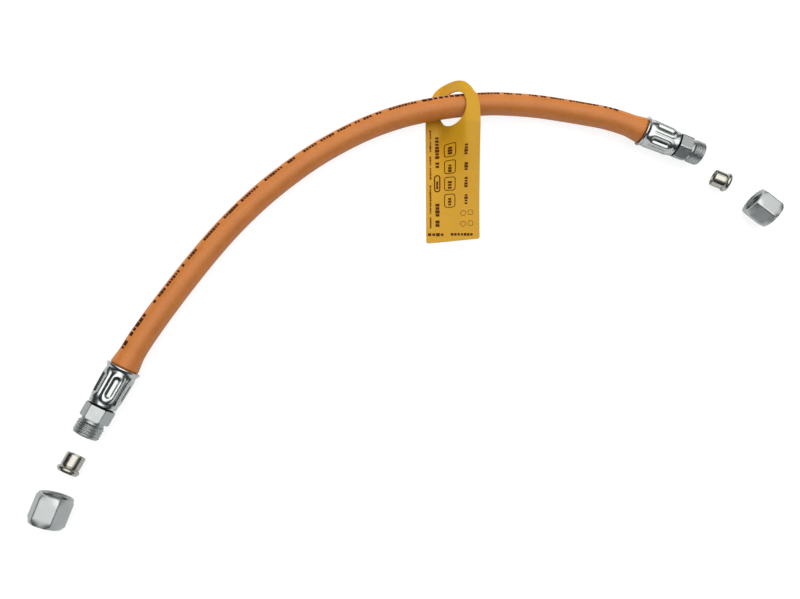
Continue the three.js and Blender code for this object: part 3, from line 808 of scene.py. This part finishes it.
def ferrule(side, pads, seam_shade, skin, shade_skin):
    """Crimped sleeve: rolled lip at the hose, waist between the pads, inward flange at the neck."""
    lip, top, end = FERRULE_LIP_RADIUS, FERRULE_TOP_RADIUS, FERRULE_END_RADIUS
    mouth, back = -FERRULE_LENGTH, -FERRULE_LENGTH + FERRULE_LIP_LENGTH
    hole = HOSE_RADIUS + SEAT_GAP
    squeezed = hole - HOSE_SQUEEZE
    flange_hole = NECK_RADIUS + SEAT_GAP
    waist = top - PAD_HEIGHT
    outline = rounded([
        # the lip, its slope down to the waist, and the taper to the end
        [lip - 0.05, mouth], [lip, back - 0.8], [waist + 0.1, back + 0.7], [waist, back + 1.4],
        [end - 0.15, -1.0], [end - 0.25, 0],
        # the flange, and the hole, which is squeezed behind the lip
        [flange_hole, 0], [flange_hole, -FERRULE_FLANGE], [squeezed, -FERRULE_FLANGE],
        [squeezed, back + 0.6], [hole, back - 0.6], [hole, mouth],
    ], 0.35)

    def step_at(radius, along):
        # fine steps for the skin that the pads raise
        return 0.17 if radius > hole + 0.1 and along < -0.1 else 2.0

    item = lathe(f"ferrule_sleeve_{side}", dense(outline, step_at), FERRULE_SIDES, sharp=60)
    settle(item, pads, {
        "Pads": PAD_COUNT, "First Pad": FIRST_PAD, "Middle": PAD_MIDDLE * MM,
        "Radius": (top + end) / 2 * MM, "Least Radius": (hole + 0.2) * MM,
        "Width": (PAD_WIDTH - PAD_WIDTH_EASING) * MM,
        "Length": (PAD_LENGTH - PAD_LENGTH_EASING) * MM, "Height": PAD_HEIGHT * MM,
        "Slot Width": (PAD_SLOT_WIDTH - SLOT_WIDTH_EASING) * MM,
        "Slot Length": (PAD_SLOT_LENGTH - SLOT_LENGTH_EASING) * MM,
        "Slot Depth": PAD_SLOT_DEPTH * MM, "Rim": PAD_RIM * MM, "Slot Rim": SLOT_RIM * MM,
        "Skin": skin,
    })
    # the faces in the seam take near-black steel: painted shade of the gap behind the hexagon
    settle(item, seam_shade, {"From": -0.02 * MM, "To": SEAM * MM, "Skin": shade_skin})
    item.data.transform(end_matrix(side))
    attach(item, "hose_set")
    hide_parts(f"ferrule_{side}")


def cut_thread():
    """Cut a right-hand thread between two places along a turned piece, with a run-out at each end.

    Skin between the least and the most radius goes to the root radius in the groove."""
    tree, given, result = rule_tree("cut_thread", {
        "Pitch": "Float", "Root": "Float", "Start": "Float", "End": "Float",
        "Least Radius": "Float", "Most Radius": "Float", "Skin": "Material",
    })
    turn, place, radius, outwards = about_axis(tree)
    turns = add(tree, "ShaderNodeMath", {0: turn, 1: math.tau}, operation="DIVIDE")
    pitches = add(tree, "ShaderNodeMath", {0: place, 1: given["Pitch"]}, operation="DIVIDE")
    phase = add(tree, "ShaderNodeMath", {0: pitches, 1: turns}, operation="SUBTRACT")
    wave = add(tree, "ShaderNodeMath", {0: phase, 1: 0.5}, operation="PINGPONG")
    # wave runs from 0 to 0.5: its first and last 0.08 are the flat crest and the flat root
    groove = add(tree, "ShaderNodeMapRange", {0: wave, 1: 0.08, 2: 0.42, 3: 0.0, 4: 1.0})
    before = add(tree, "ShaderNodeMath", {
        0: given["Pitch"], 1: -0.5, 2: given["Start"]}, operation="MULTIPLY_ADD")
    enter = add(tree, "ShaderNodeMapRange", {0: place, 1: before, 2: given["Start"]})
    inner_end = add(tree, "ShaderNodeMath", {
        0: given["Pitch"], 1: -0.5, 2: given["End"]}, operation="MULTIPLY_ADD")
    leave = add(tree, "ShaderNodeMapRange", {0: place, 1: given["End"], 2: inner_end})
    above = add(tree, "ShaderNodeMath", {
        0: radius, 1: given["Least Radius"]}, operation="GREATER_THAN")
    below = add(tree, "ShaderNodeMath", {0: radius, 1: given["Most Radius"]}, operation="LESS_THAN")
    amount = add(tree, "ShaderNodeMath", {0: given["Root"], 1: radius}, operation="SUBTRACT")
    for share in (groove, enter, leave, above, below):
        amount = add(tree, "ShaderNodeMath", {0: amount, 1: share}, operation="MULTIPLY")
    push = add(tree, "ShaderNodeVectorMath", {0: outwards, "Scale": amount}, operation="SCALE")
    moved = add(tree, "GeometryNodeSetPosition", {"Geometry": given["Geometry"], "Offset": push})
    return finish_tree(tree, moved, given["Skin"], result)


def end_fitting(side, thread, seam_shade, skin, shade_skin):
    """One turned piece: barbed tail, shoulder, neck, hexagon, relief, thread, cone and bore."""
    shoulder_face = -FERRULE_FLANGE - SEAT_GAP
    shoulder_back = shoulder_face - SHOULDER_LENGTH
    tip = SEAT_GAP + TAIL_SHORTER - FERRULE_LENGTH
    hex_front = SEAM + HEX_LENGTH
    thread_back = hex_front + RELIEF_LENGTH
    face = thread_back + THREAD_LENGTH
    thread_start = thread_back + 0.9  # where the slope out of the relief groove ends
    corner = HEX_ACROSS / math.sqrt(3)
    cone_depth = (CONE_MOUTH_RADIUS - PIPE_RADIUS) / math.tan(CONE_HALF_ANGLE)
    barb_pitch = (shoulder_back - 1 - tip) / BARB_COUNT  # 1 mm of plain tail stays at the shoulder
    outline = [[FITTING_BORE_RADIUS, tip]]
    for barb in range(BARB_COUNT):
        start = tip + barb * barb_pitch
        outline += [
            [TAIL_RADIUS, start], [TAIL_RADIUS + BARB_HEIGHT, start + BARB_CREST * barb_pitch],
            [TAIL_RADIUS, start + BARB_FOOT * barb_pitch],
        ]
    outline = rounded(outline + [
        # the shoulder and the neck
        [TAIL_RADIUS, shoulder_back - 0.6], [SHOULDER_RADIUS, shoulder_back],
        [SHOULDER_RADIUS, shoulder_face], [NECK_RADIUS, shoulder_face], [NECK_RADIUS, SEAM],
        # the hexagon, the relief groove and the thread
        [corner, SEAM], [corner, hex_front], [RELIEF_RADIUS, hex_front],
        [RELIEF_RADIUS, thread_back + 0.1], [THREAD_RADIUS, thread_start],
        [THREAD_RADIUS, face - FACE_CHAMFER], [THREAD_RADIUS - FACE_CHAMFER, face],
        # the cone, the pipe socket and the bore
        [CONE_MOUTH_RADIUS, face], [PIPE_RADIUS, face - cone_depth],
        [PIPE_RADIUS, face - PIPE_SOCKET], [FITTING_BORE_RADIUS, face - PIPE_SOCKET],
    ], EDGE_EASING, 2)

    def step_at(radius, along):
        # fine steps for the thread, short ones for the hexagon, one for each wall elsewhere
        in_thread = radius > THREAD_ROOT_RADIUS and along > thread_back - 0.5
        return 0.11 if in_thread else 0.5 if radius > corner - 0.1 else FERRULE_LENGTH

    def rule(turn, along, radius):
        sharp_hexagon = hexagon_radius(turn, HEX_ACROSS, FIRST_HEX_FLAT)
        hexagon = softer_of(sharp_hexagon, corner - HEX_CORNER_EASING, 0.05)
        from_end = np.minimum(along - SEAM, hex_front - along)
        # the chamfer starts 0.5 mm over the flats and rises 1.6 mm for each mm along
        chamfer = HEX_ACROSS / 2 + 0.5 + 1.6 * np.maximum(from_end, 0)
        rounding = 0.15
        edge = rounding * np.clip(1 - from_end / rounding, 0, 1) ** 2
        in_hex = (from_end > -1e-6) & (radius > THREAD_RADIUS + 0.1)
        return np.where(in_hex, softer_of(hexagon, chamfer, 0.05) - edge, radius)

    item = lathe(
        f"end_fitting_body_{side}", dense(outline, step_at), FITTING_SIDES, sharp=40, rule=rule,
        first_turn=FIRST_HEX_FLAT + math.pi / 6,
    )
    settle(item, thread, {
        "Pitch": THREAD_PITCH * MM, "Root": THREAD_GROOVE_RADIUS * MM, "Start": thread_start * MM,
        "End": (face + 0.3) * MM, "Least Radius": THREAD_ROOT_RADIUS * MM,
        "Most Radius": (THREAD_RADIUS + 0.1) * MM, "Skin": skin,
    })
    # the neck and the hexagon's back face take near-black steel: painted shade of the seam
    settle(item, seam_shade, {"From": -FERRULE_FLANGE * MM, "To": (SEAM + 0.01) * MM, "Skin": shade_skin})
    item.data.transform(end_matrix(side))
    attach(item, "hose_set")
    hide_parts(f"end_fitting_{side}")


def cutting_ring(side, skin):
    """Turned ring with a cutting front, a groove and a collar, lying on its front and collar."""
    x, y, azimuth = LOOSE_RINGS[side]
    half = RING_LENGTH / 2
    collar_front = half - RING_COLLAR_LENGTH
    groove_front = collar_front - RING_GROOVE_LENGTH
    outline = dense(rounded([
        # the cutting front, the groove and the collar
        [PIPE_RADIUS + 0.35, -half], [RING_FRONT_RADIUS - 0.15, -half],
        [RING_FRONT_RADIUS, -half + 0.5], [RING_FRONT_RADIUS, groove_front],
        [RING_GROOVE_RADIUS, groove_front + 0.3], [RING_GROOVE_RADIUS, collar_front - 0.3],
        [RING_COLLAR_RADIUS - 0.3, collar_front + 0.3], [RING_COLLAR_RADIUS, collar_front + 1.0],
        [RING_COLLAR_RADIUS, half - 1.2], [RING_COLLAR_RADIUS - 0.9, half],
        # the bore, cut back at the front to leave an edge that bites
        [PIPE_RADIUS, half], [PIPE_RADIUS, -half + 1.2], [PIPE_RADIUS + 0.25, -half + 1.0],
    ], 0.16), lambda radius, along: 0.5)
    # it tips until both its front and its collar touch the table
    drop = RING_COLLAR_RADIUS - RING_FRONT_RADIUS
    tilt = math.atan2(drop, RING_LENGTH - RING_COLLAR_LENGTH - 0.25)
    height = RING_FRONT_RADIUS * math.cos(tilt) + (half - 0.5) * math.sin(tilt)
    matrix = (
        Matrix.Translation(Vector((x, y, height)) * MM)
        @ Matrix.Rotation(azimuth - math.pi / 2, 4, "Z") @ Matrix.Rotation(tilt, 4, "X")
    )
    item = lathe(f"olive_ring_{side}", outline, RING_SIDES, sharp=40)
    item.data.transform(matrix)
    item.data.materials.append(skin)
    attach(item, "hose_set")
    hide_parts(f"cutting_ring_{side}")


def eased_end(share, low, high):
    """Radius of a rounded chamfer, from low at its face to high where it has run out."""
    share = np.clip(share, 0, 1)
    arc = (1 - (1 - share) ** NUT_ROUNDNESS) ** (1 / NUT_ROUNDNESS)
    return low + (high - low) * arc


def union_nut(side, thread, skin):
    """Hexagon nut with rounded-off ends, threaded from its mouth, coned down to the pipe hole."""
    x, y, azimuth = LOOSE_NUTS[side]
    corner = NUT_ACROSS / math.sqrt(3)
    flat = NUT_ACROSS / 2
    mouth, back = -NUT_LENGTH / 2, NUT_LENGTH / 2 - NUT_BACK_TRIM
    thread_end = mouth + NUT_THREAD_DEPTH
    cone_end = thread_end + THREAD_ROOT_RADIUS - NUT_HOLE_RADIUS
    outline = rounded([
        # the corners, the pipe hole and its 0.4 mm chamfer, the cone, the thread and its mouth
        [corner, mouth], [corner, back], [NUT_HOLE_RADIUS + 0.4, back],
        [NUT_HOLE_RADIUS, back - 0.4], [NUT_HOLE_RADIUS, cone_end],
        [THREAD_ROOT_RADIUS, thread_end], [THREAD_ROOT_RADIUS, mouth + 0.9],
        [THREAD_ROOT_RADIUS + 0.9, mouth],
    ], EDGE_EASING, 2)

    def step_at(radius, along):
        # fine steps for the chamfers and the thread, one step for each straight wall elsewhere
        if radius > corner - 0.1:
            return 0.1 if min(along - mouth, back - along) < NUT_BACK_CHAMFER + 0.3 else 2.0
        in_thread = abs(radius - THREAD_ROOT_RADIUS) < 0.1 and along < thread_end
        return 0.12 if in_thread else NUT_LENGTH

    def rule(turn, along, radius):
        sharp_hexagon = hexagon_radius(turn, NUT_ACROSS, 0)
        hexagon = softer_of(sharp_hexagon, corner - NUT_CORNER_EASING, 0.06)
        run_out = corner + 0.3  # past the corner, so that no step is left where the chamfer ends
        from_mouth = eased_end((along - mouth) / NUT_MOUTH_CHAMFER, flat - NUT_MOUTH_INSET, run_out)
        from_back = eased_end((back - along) / NUT_BACK_CHAMFER, flat - NUT_BACK_INSET, run_out)
        eased_hexagon = softer_of(softer_of(hexagon, from_mouth, 0.1), from_back, 0.1)
        return np.where(radius > corner - 0.2, eased_hexagon, radius)

    item = lathe(f"hexagon_nut_{side}", dense(outline, step_at), NUT_SIDES, sharp=40, rule=rule)
    settle(item, thread, {
        "Pitch": THREAD_PITCH * MM, "Root": THREAD_RADIUS * MM, "Start": (mouth - 0.2) * MM,
        "End": (thread_end - 0.2) * MM, "Least Radius": (THREAD_ROOT_RADIUS - 0.05) * MM,
        "Most Radius": THREAD_RADIUS * MM, "Skin": skin,
    })
    place = Matrix.Translation(Vector((x, y, flat)) * MM)
    item.data.transform(place @ Matrix.Rotation(azimuth - math.pi / 2, 4, "Z"))
    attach(item, "hose_set")
    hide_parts(f"union_nut_{side}")


pad_rule, thread_rule, shade_rule = press_pads(), cut_thread(), bare_between()
bright, satin, milled = zinc_bright(), zinc_satin(), zinc_milled()
# the second steel is near black: painted shade for the seams, not a finish of their own
steel, seam_shade_steel = steel_bright(), steel_painted_seam_shade()
for end in "ab":
    ferrule(end, pad_rule, shade_rule, bright, seam_shade_steel)
    end_fitting(end, thread_rule, shade_rule, satin, seam_shade_steel)
    cutting_ring(end, steel)
    union_nut(end, thread_rule, milled)


def eased(share):
    share = np.clip(share, 0, 1)
    return share * share * (3 - 2 * share)


def tag_height(x, y):
    """Height of the tag's middle surface over the table: a ramp from its left side up to its right
    side, as wide as the hole where the hose passes and as wide as the tag towards the foot."""
    lift = TAG_HOSE_HEIGHT + HOSE_RADIUS + TAG_CLEARANCE
    hole_x, hole_y = TAG_HOLE
    hole_foot, hole_head = hole_y - TAG_HOLE_HALF_LENGTH, hole_y + TAG_HOLE_HALF_LENGTH
    tip = TAG_HEAD[1] + TAG_HEAD_RADIUS
    body = hole_foot - TAG_FOOT_LEFT
    spread = eased(2 * (hole_foot - y) / body)
    narrow = TAG_HOLE_HALF_WIDTH + TAG_RAMP_MARGIN
    left = (hole_x - narrow) * (1 - spread) + TAG_LEFT * spread
    right = (hole_x + narrow) * (1 - spread) + TAG_RIGHT * spread
    across = eased((x - left) / (right - left))
    # along the tag the ramp rises from the foot to the hole and sinks a little over the head
    tail = np.clip((y - TAG_FOOT_LEFT) / body, 0, 1)
    over_head = (y - hole_head + TAG_HEAD_DROP_START) / (tip - hole_head + TAG_HEAD_DROP_START)
    head = TAG_HEAD_DROP * eased(over_head)
    along = TAG_FOOT_RISE + (1 - TAG_FOOT_RISE) * tail ** 1.4 - head
    return TAG_THICKNESS / 2 + lift * across * along


def bend_between(start, control, end, steps=8):
    """Points of a quadratic bend, without its first."""
    start, control, end = (np.array(point) for point in (start, control, end))
    shares = [(step + 1) / steps for step in range(steps)]
    return [tuple((1 - t) ** 2 * start + 2 * t * (1 - t) * control + t * t * end) for t in shares]


def tag_outline():
    """The outline and the hole in plan: a slanted foot, straight sides, necks and a round head."""
    head_x, head_y = TAG_HEAD
    reach = TAG_HEAD_RADIUS * math.cos(TAG_HEAD_TURN)
    side_y = head_y + TAG_HEAD_RADIUS * math.sin(TAG_HEAD_TURN)
    r = TAG_FOOT_RADIUS
    outline = [(TAG_LEFT + r, TAG_FOOT_LEFT + 0.1), (TAG_RIGHT_FOOT - r, TAG_FOOT_RIGHT - 0.1)]
    foot_corner = (TAG_RIGHT_FOOT, TAG_FOOT_RIGHT)
    outline += bend_between(outline[-1], foot_corner, (TAG_RIGHT_FOOT - 0.1, TAG_FOOT_RIGHT + r))
    outline += [(TAG_RIGHT, TAG_SHOULDER)]
    outline += bend_between(outline[-1], (TAG_RIGHT, side_y - TAG_NECK), (head_x + reach, side_y))
    outline += [
        (head_x + TAG_HEAD_RADIUS * math.cos(a), head_y + TAG_HEAD_RADIUS * math.sin(a))
        for a in np.linspace(TAG_HEAD_TURN, math.pi - TAG_HEAD_TURN, 49)[1:]
    ]
    outline += bend_between(outline[-1], (TAG_LEFT, side_y - TAG_NECK), (TAG_LEFT, TAG_SHOULDER))
    outline += [(TAG_LEFT, TAG_FOOT_LEFT + r)]
    outline += bend_between(outline[-1], (TAG_LEFT, TAG_FOOT_LEFT), outline[0])[:-1]
    hole_x, hole_y = TAG_HOLE
    hole = [
        (hole_x + TAG_HOLE_HALF_WIDTH * math.cos(a), hole_y + TAG_HOLE_HALF_LENGTH * math.sin(a))
        for a in np.linspace(0, math.tau, 72, endpoint=False)
    ]
    return outline, hole


def axis_edge(edge):
    """True for an edge that runs along X or Y, which the bisecting planes made."""
    run = edge.verts[0].co - edge.verts[1].co
    return abs(run.x) < 1e-7 or abs(run.y) < 1e-7


def tag(skin):
    """The sheet, cut to its outline in plan, bent by its height rule, then given its thickness."""
    outline, hole = tag_outline()
    work = bmesh.new()
    edges = []
    for loop in (outline, hole):
        corners = [work.verts.new((x * MM, y * MM, 0)) for x, y in loop]
        edges += [work.edges.new((a, b)) for a, b in zip(corners, corners[1:] + corners[:1])]
    bmesh.ops.triangle_fill(work, edges=edges, use_beauty=True)
    step = 1.2  # of the grid that carries the bend
    tip = TAG_HEAD[1] + TAG_HEAD_RADIUS
    for axis, low, high in ((0, TAG_LEFT, TAG_RIGHT_FOOT), (1, TAG_FOOT_LEFT, tip)):
        normal = (1 - axis, axis, 0)
        for cut in np.arange(low + step / 2, high, step):
            everything = work.verts[:] + work.edges[:] + work.faces[:]
            spot = (cut * MM * (1 - axis), cut * MM * axis, 0)
            bmesh.ops.bisect_plane(work, geom=everything, plane_co=spot, plane_no=normal, dist=1e-7)
    # the fill's own slanting edges go, so that the grid's cells are left
    inner = [e for e in work.edges if len(e.link_faces) == 2]
    bmesh.ops.dissolve_limit(work, angle_limit=0.01, use_dissolve_boundaries=False,
                             verts=[], edges=[e for e in inner if not axis_edge(e)])
    for corner in work.verts:
        corner.co.z = float(tag_height(corner.co.x / MM, corner.co.y / MM)) * MM
    mesh = bpy.data.meshes.new("plastic_tag")
    work.normal_update()
    if sum(face.normal.z for face in work.faces) < 0:
        bmesh.ops.reverse_faces(work, faces=work.faces[:])
    work.to_mesh(mesh)
    work.free()
    mesh.shade_smooth()
    item = linked("plastic_tag", mesh)
    wall = item.modifiers.new("wall", "SOLIDIFY")
    wall.thickness = TAG_THICKNESS * MM
    wall.offset = 0
    edge = item.modifiers.new("edge", "BEVEL")
    edge.width = TAG_EDGE_ROUNDING * MM
    edge.segments = 2
    edge.limit_method = "ANGLE"
    edge.angle_limit = math.radians(50)
    settle(item)
    item.data.materials.append(skin)
    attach(item, "tag")
    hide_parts("tag")
    return item


def tag_print(sheet, rows, frames):
    """Generic marks on the tag: rows that read up it, plain frames, round stamps, a foot line."""
    ink = printing_ink("screen_printed_brown_ink", "#6a3a10", "#3c1c08")
    lay = lay_on_sheet()
    up = math.pi / 2
    # where each row starts, its turn, its length, the pitch and height of its marks, its seed
    lines = [
        (-3.3, 36.5, up, 27, 0.95, 1.1, 2), (-3.2, 66.5, up, 15, 0.95, 1.1, 6),
        (-3.1, 83.5, up, 13.5, 0.95, 1.1, 9), (0.7, 36.8, up, 7, 2.0, 2.5, 3),
        (0.7, 44.8, up, 9.6, 2.0, 2.5, 5), (0.8, 73.8, up, 4.2, 2.0, 2.5, 8),
        (0.8, 79.6, up, 15, 2.0, 2.5, 12), (0.6, 61.4, up, 6, 2.4, 1.2, 14),
        (7.6, 51.0, up, 6, 1.6, 2.0, 15), (7.6, 60.8, up, 6, 1.6, 2.6, 18),
        (7.6, 70.6, up, 6, 1.6, 2.0, 21), (7.6, 81.0, up, 6, 1.6, 2.4, 25),
        (16.7, 51.4, up, 6.2, 1.55, 2.0, 27), (16.5, 61.1, up, 6.2, 1.55, 2.0, 28),
        (16.3, 70.7, up, 5.6, 1.55, 2.0, 30), (15.9, 79.4, up, 6.2, 1.55, 2.0, 33),
        (-3.9, 33.3, 0.0, 9.6, 2.4, 1.9, 41), (9.0, 33.5, 0.0, 14, 1.85, 1.7, 44),
    ]
    # where each row of frames starts, its count, pitch, the size of a frame, its corner, its line
    outlines = [
        (7.6, 53.2, 4, 9.9, 7.6, 5.8, 1.2, 0.45), (0.6, 63.6, 1, 0, 9.6, 2.9, 1.3, 0.7),
        (15.2, 39.6, 2, 6.2, 2.9, 2.9, 1.4, 0.25), (19.4, 40.0, 2, 6.2, 2.9, 2.9, 1.4, 0.25),
    ]
    items = []
    for x, y, turn, length, pitch, height, seed in lines:
        items.append(((x, y), turn, settle(empty_piece("marks"), rows, {
            "Length": length * MM, "Pitch": pitch * MM, "Height": height * MM,
            "Thickness": INK_THICKNESS * MM, "Share": 0.97, "Seed": seed, "Ink": ink})))
    for x, y, count, pitch, width, height, corner, line in outlines:
        items.append(((x, y), up, settle(empty_piece("frames"), frames, {
            "Count": count, "Pitch": pitch * MM, "Width": width * MM, "Height": height * MM,
            "Corner": corner * MM, "Line": line * MM, "Thickness": INK_THICKNESS * MM,
            "Ink": ink})))
    for (x, y), turn, item in items:
        settle(item, lay, {"Sheet": sheet, "Place": (x * MM, y * MM, 0), "Turn": turn, "Ink": ink})
    marks = joined("tag_print", [item for _, _, item in items], ink)
    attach(marks, "tag")


plastic_tag = tag(tag_plastic())
tag_print(plastic_tag, mark_rows, row_of_frames())


def direct_ray(tree):
    """1 for rays from the camera or a shiny or clear surface, 0 for those that light things."""
    ray = add(tree, "ShaderNodeLightPath").outputs
    seen = add(tree, "ShaderNodeMath", {
        0: ray["Is Camera Ray"], 1: ray["Is Glossy Ray"]}, operation="MAXIMUM")
    return add(tree, "ShaderNodeMath", {
        0: seen, 1: ray["Is Transmission Ray"]}, operation="MAXIMUM")


def white_table():
    """A paper table, 8 m wide, which lies 0.2 mm under the set."""
    reach, below = 4.0, -0.2 * MM
    corners = [(-reach, -reach), (reach, -reach), (reach, reach), (-reach, reach)]
    mesh = bpy.data.meshes.new("table_top")
    mesh.from_pydata([(x, y, below) for x, y in corners], [], [(0, 1, 2, 3)])
    material = bpy.data.materials.new("white_table")
    material.use_nodes = True
    tree = material.node_tree
    tree.nodes.clear()
    paper = add(tree, "ShaderNodeBsdfDiffuse", {"Color": linear("#f4f4f4")})
    lift = add(tree, "ShaderNodeEmission", {"Color": linear("#ffffff"), "Strength": 0.12})
    lit = add(tree, "ShaderNodeAddShader", {0: paper, 1: lift})
    mirrored = add(tree, "ShaderNodeMixShader", {0: direct_ray(tree), 1: paper, 2: lit})
    # straight at the camera the shadows are fainter
    pale = add(tree, "ShaderNodeBsdfDiffuse", {"Color": linear("#8c8c8c")})
    glow = add(tree, "ShaderNodeEmission", {"Color": linear("#ffffff"), "Strength": 0.85})
    seen = add(tree, "ShaderNodeAddShader", {0: pale, 1: glow})
    camera_ray = add(tree, "ShaderNodeLightPath").outputs["Is Camera Ray"]
    pick = add(tree, "ShaderNodeMixShader", {0: camera_ray, 1: mirrored, 2: seen})
    add(tree, "ShaderNodeOutputMaterial", {"Surface": pick})
    mesh.materials.append(material)
    linked("table_top", mesh)


def white_world():
    """White wherever it is seen or mirrored, and a dim cool light on everything."""
    world = bpy.data.worlds.new("studio")
    bpy.context.scene.world = world
    world.use_nodes = True
    tree = world.node_tree
    tree.nodes.clear()
    dim = add(tree, "ShaderNodeBackground", {"Color": linear("#e8f0ff"), "Strength": 0.3})
    white = add(tree, "ShaderNodeBackground", {"Color": linear("#ffffff"), "Strength": 1.0})
    pick = add(tree, "ShaderNodeMixShader", {0: direct_ray(tree), 1: dim, 2: white})
    add(tree, "ShaderNodeOutputWorld", {"Surface": pick})


def soft_box(name, width, depth, watts, colour, place, turn=(0, 0, 0)):
    """A rectangular lamp of that size in m, which shines straight down unless it is turned."""
    lamp = bpy.data.lights.new(name, "AREA")
    lamp.shape = "RECTANGLE"
    lamp.size, lamp.size_y = width, depth
    lamp.energy = watts
    lamp.color = colour
    box = linked(name, lamp)
    box.location = place
    box.rotation_euler = turn
    return box


def flags(name, low, high, colour):
    """A ring of cloth round the set, which only the metal mirrors."""
    sides, reach = 48, 1.4
    turns = [math.tau * n / sides for n in range(sides)]
    points = [(reach * math.cos(a), reach * math.sin(a), z) for z in (low, high) for a in turns]
    faces = [(n, (n + 1) % sides, sides + (n + 1) % sides, sides + n) for n in range(sides)]
    mesh = bpy.data.meshes.new(name)
    mesh.from_pydata(points, [], faces)
    cloth, _, _ = new_material(name, Base_Color=linear(colour), Roughness=0.9)
    mesh.materials.append(cloth)
    item = linked(name, mesh)
    item.visible_camera = False
    item.visible_shadow = False
    item.visible_diffuse = False


white_table()
white_world()
soft_box("soft_box", 1.85, 1.5, 10.8, (1.0, 0.985, 0.945), (0.28, 0.3, 0.95))
# low behind the bend: it lights the hose's outer side and shows in no metal
side_box = soft_box(
    "side_box", 1.2, 0.6, 9.0, (1.0, 0.97, 0.9), (-0.35, 1.25, 0.75),
    (math.radians(-59), 0, math.radians(16)),
)
side_box.visible_glossy = False
flags("black_cloth", 0.03, 0.95, "#303438")
flags("grey_cloth", 0.95, 2.2, "#85898e")
bpy.context.scene.view_settings.view_transform = "Standard"
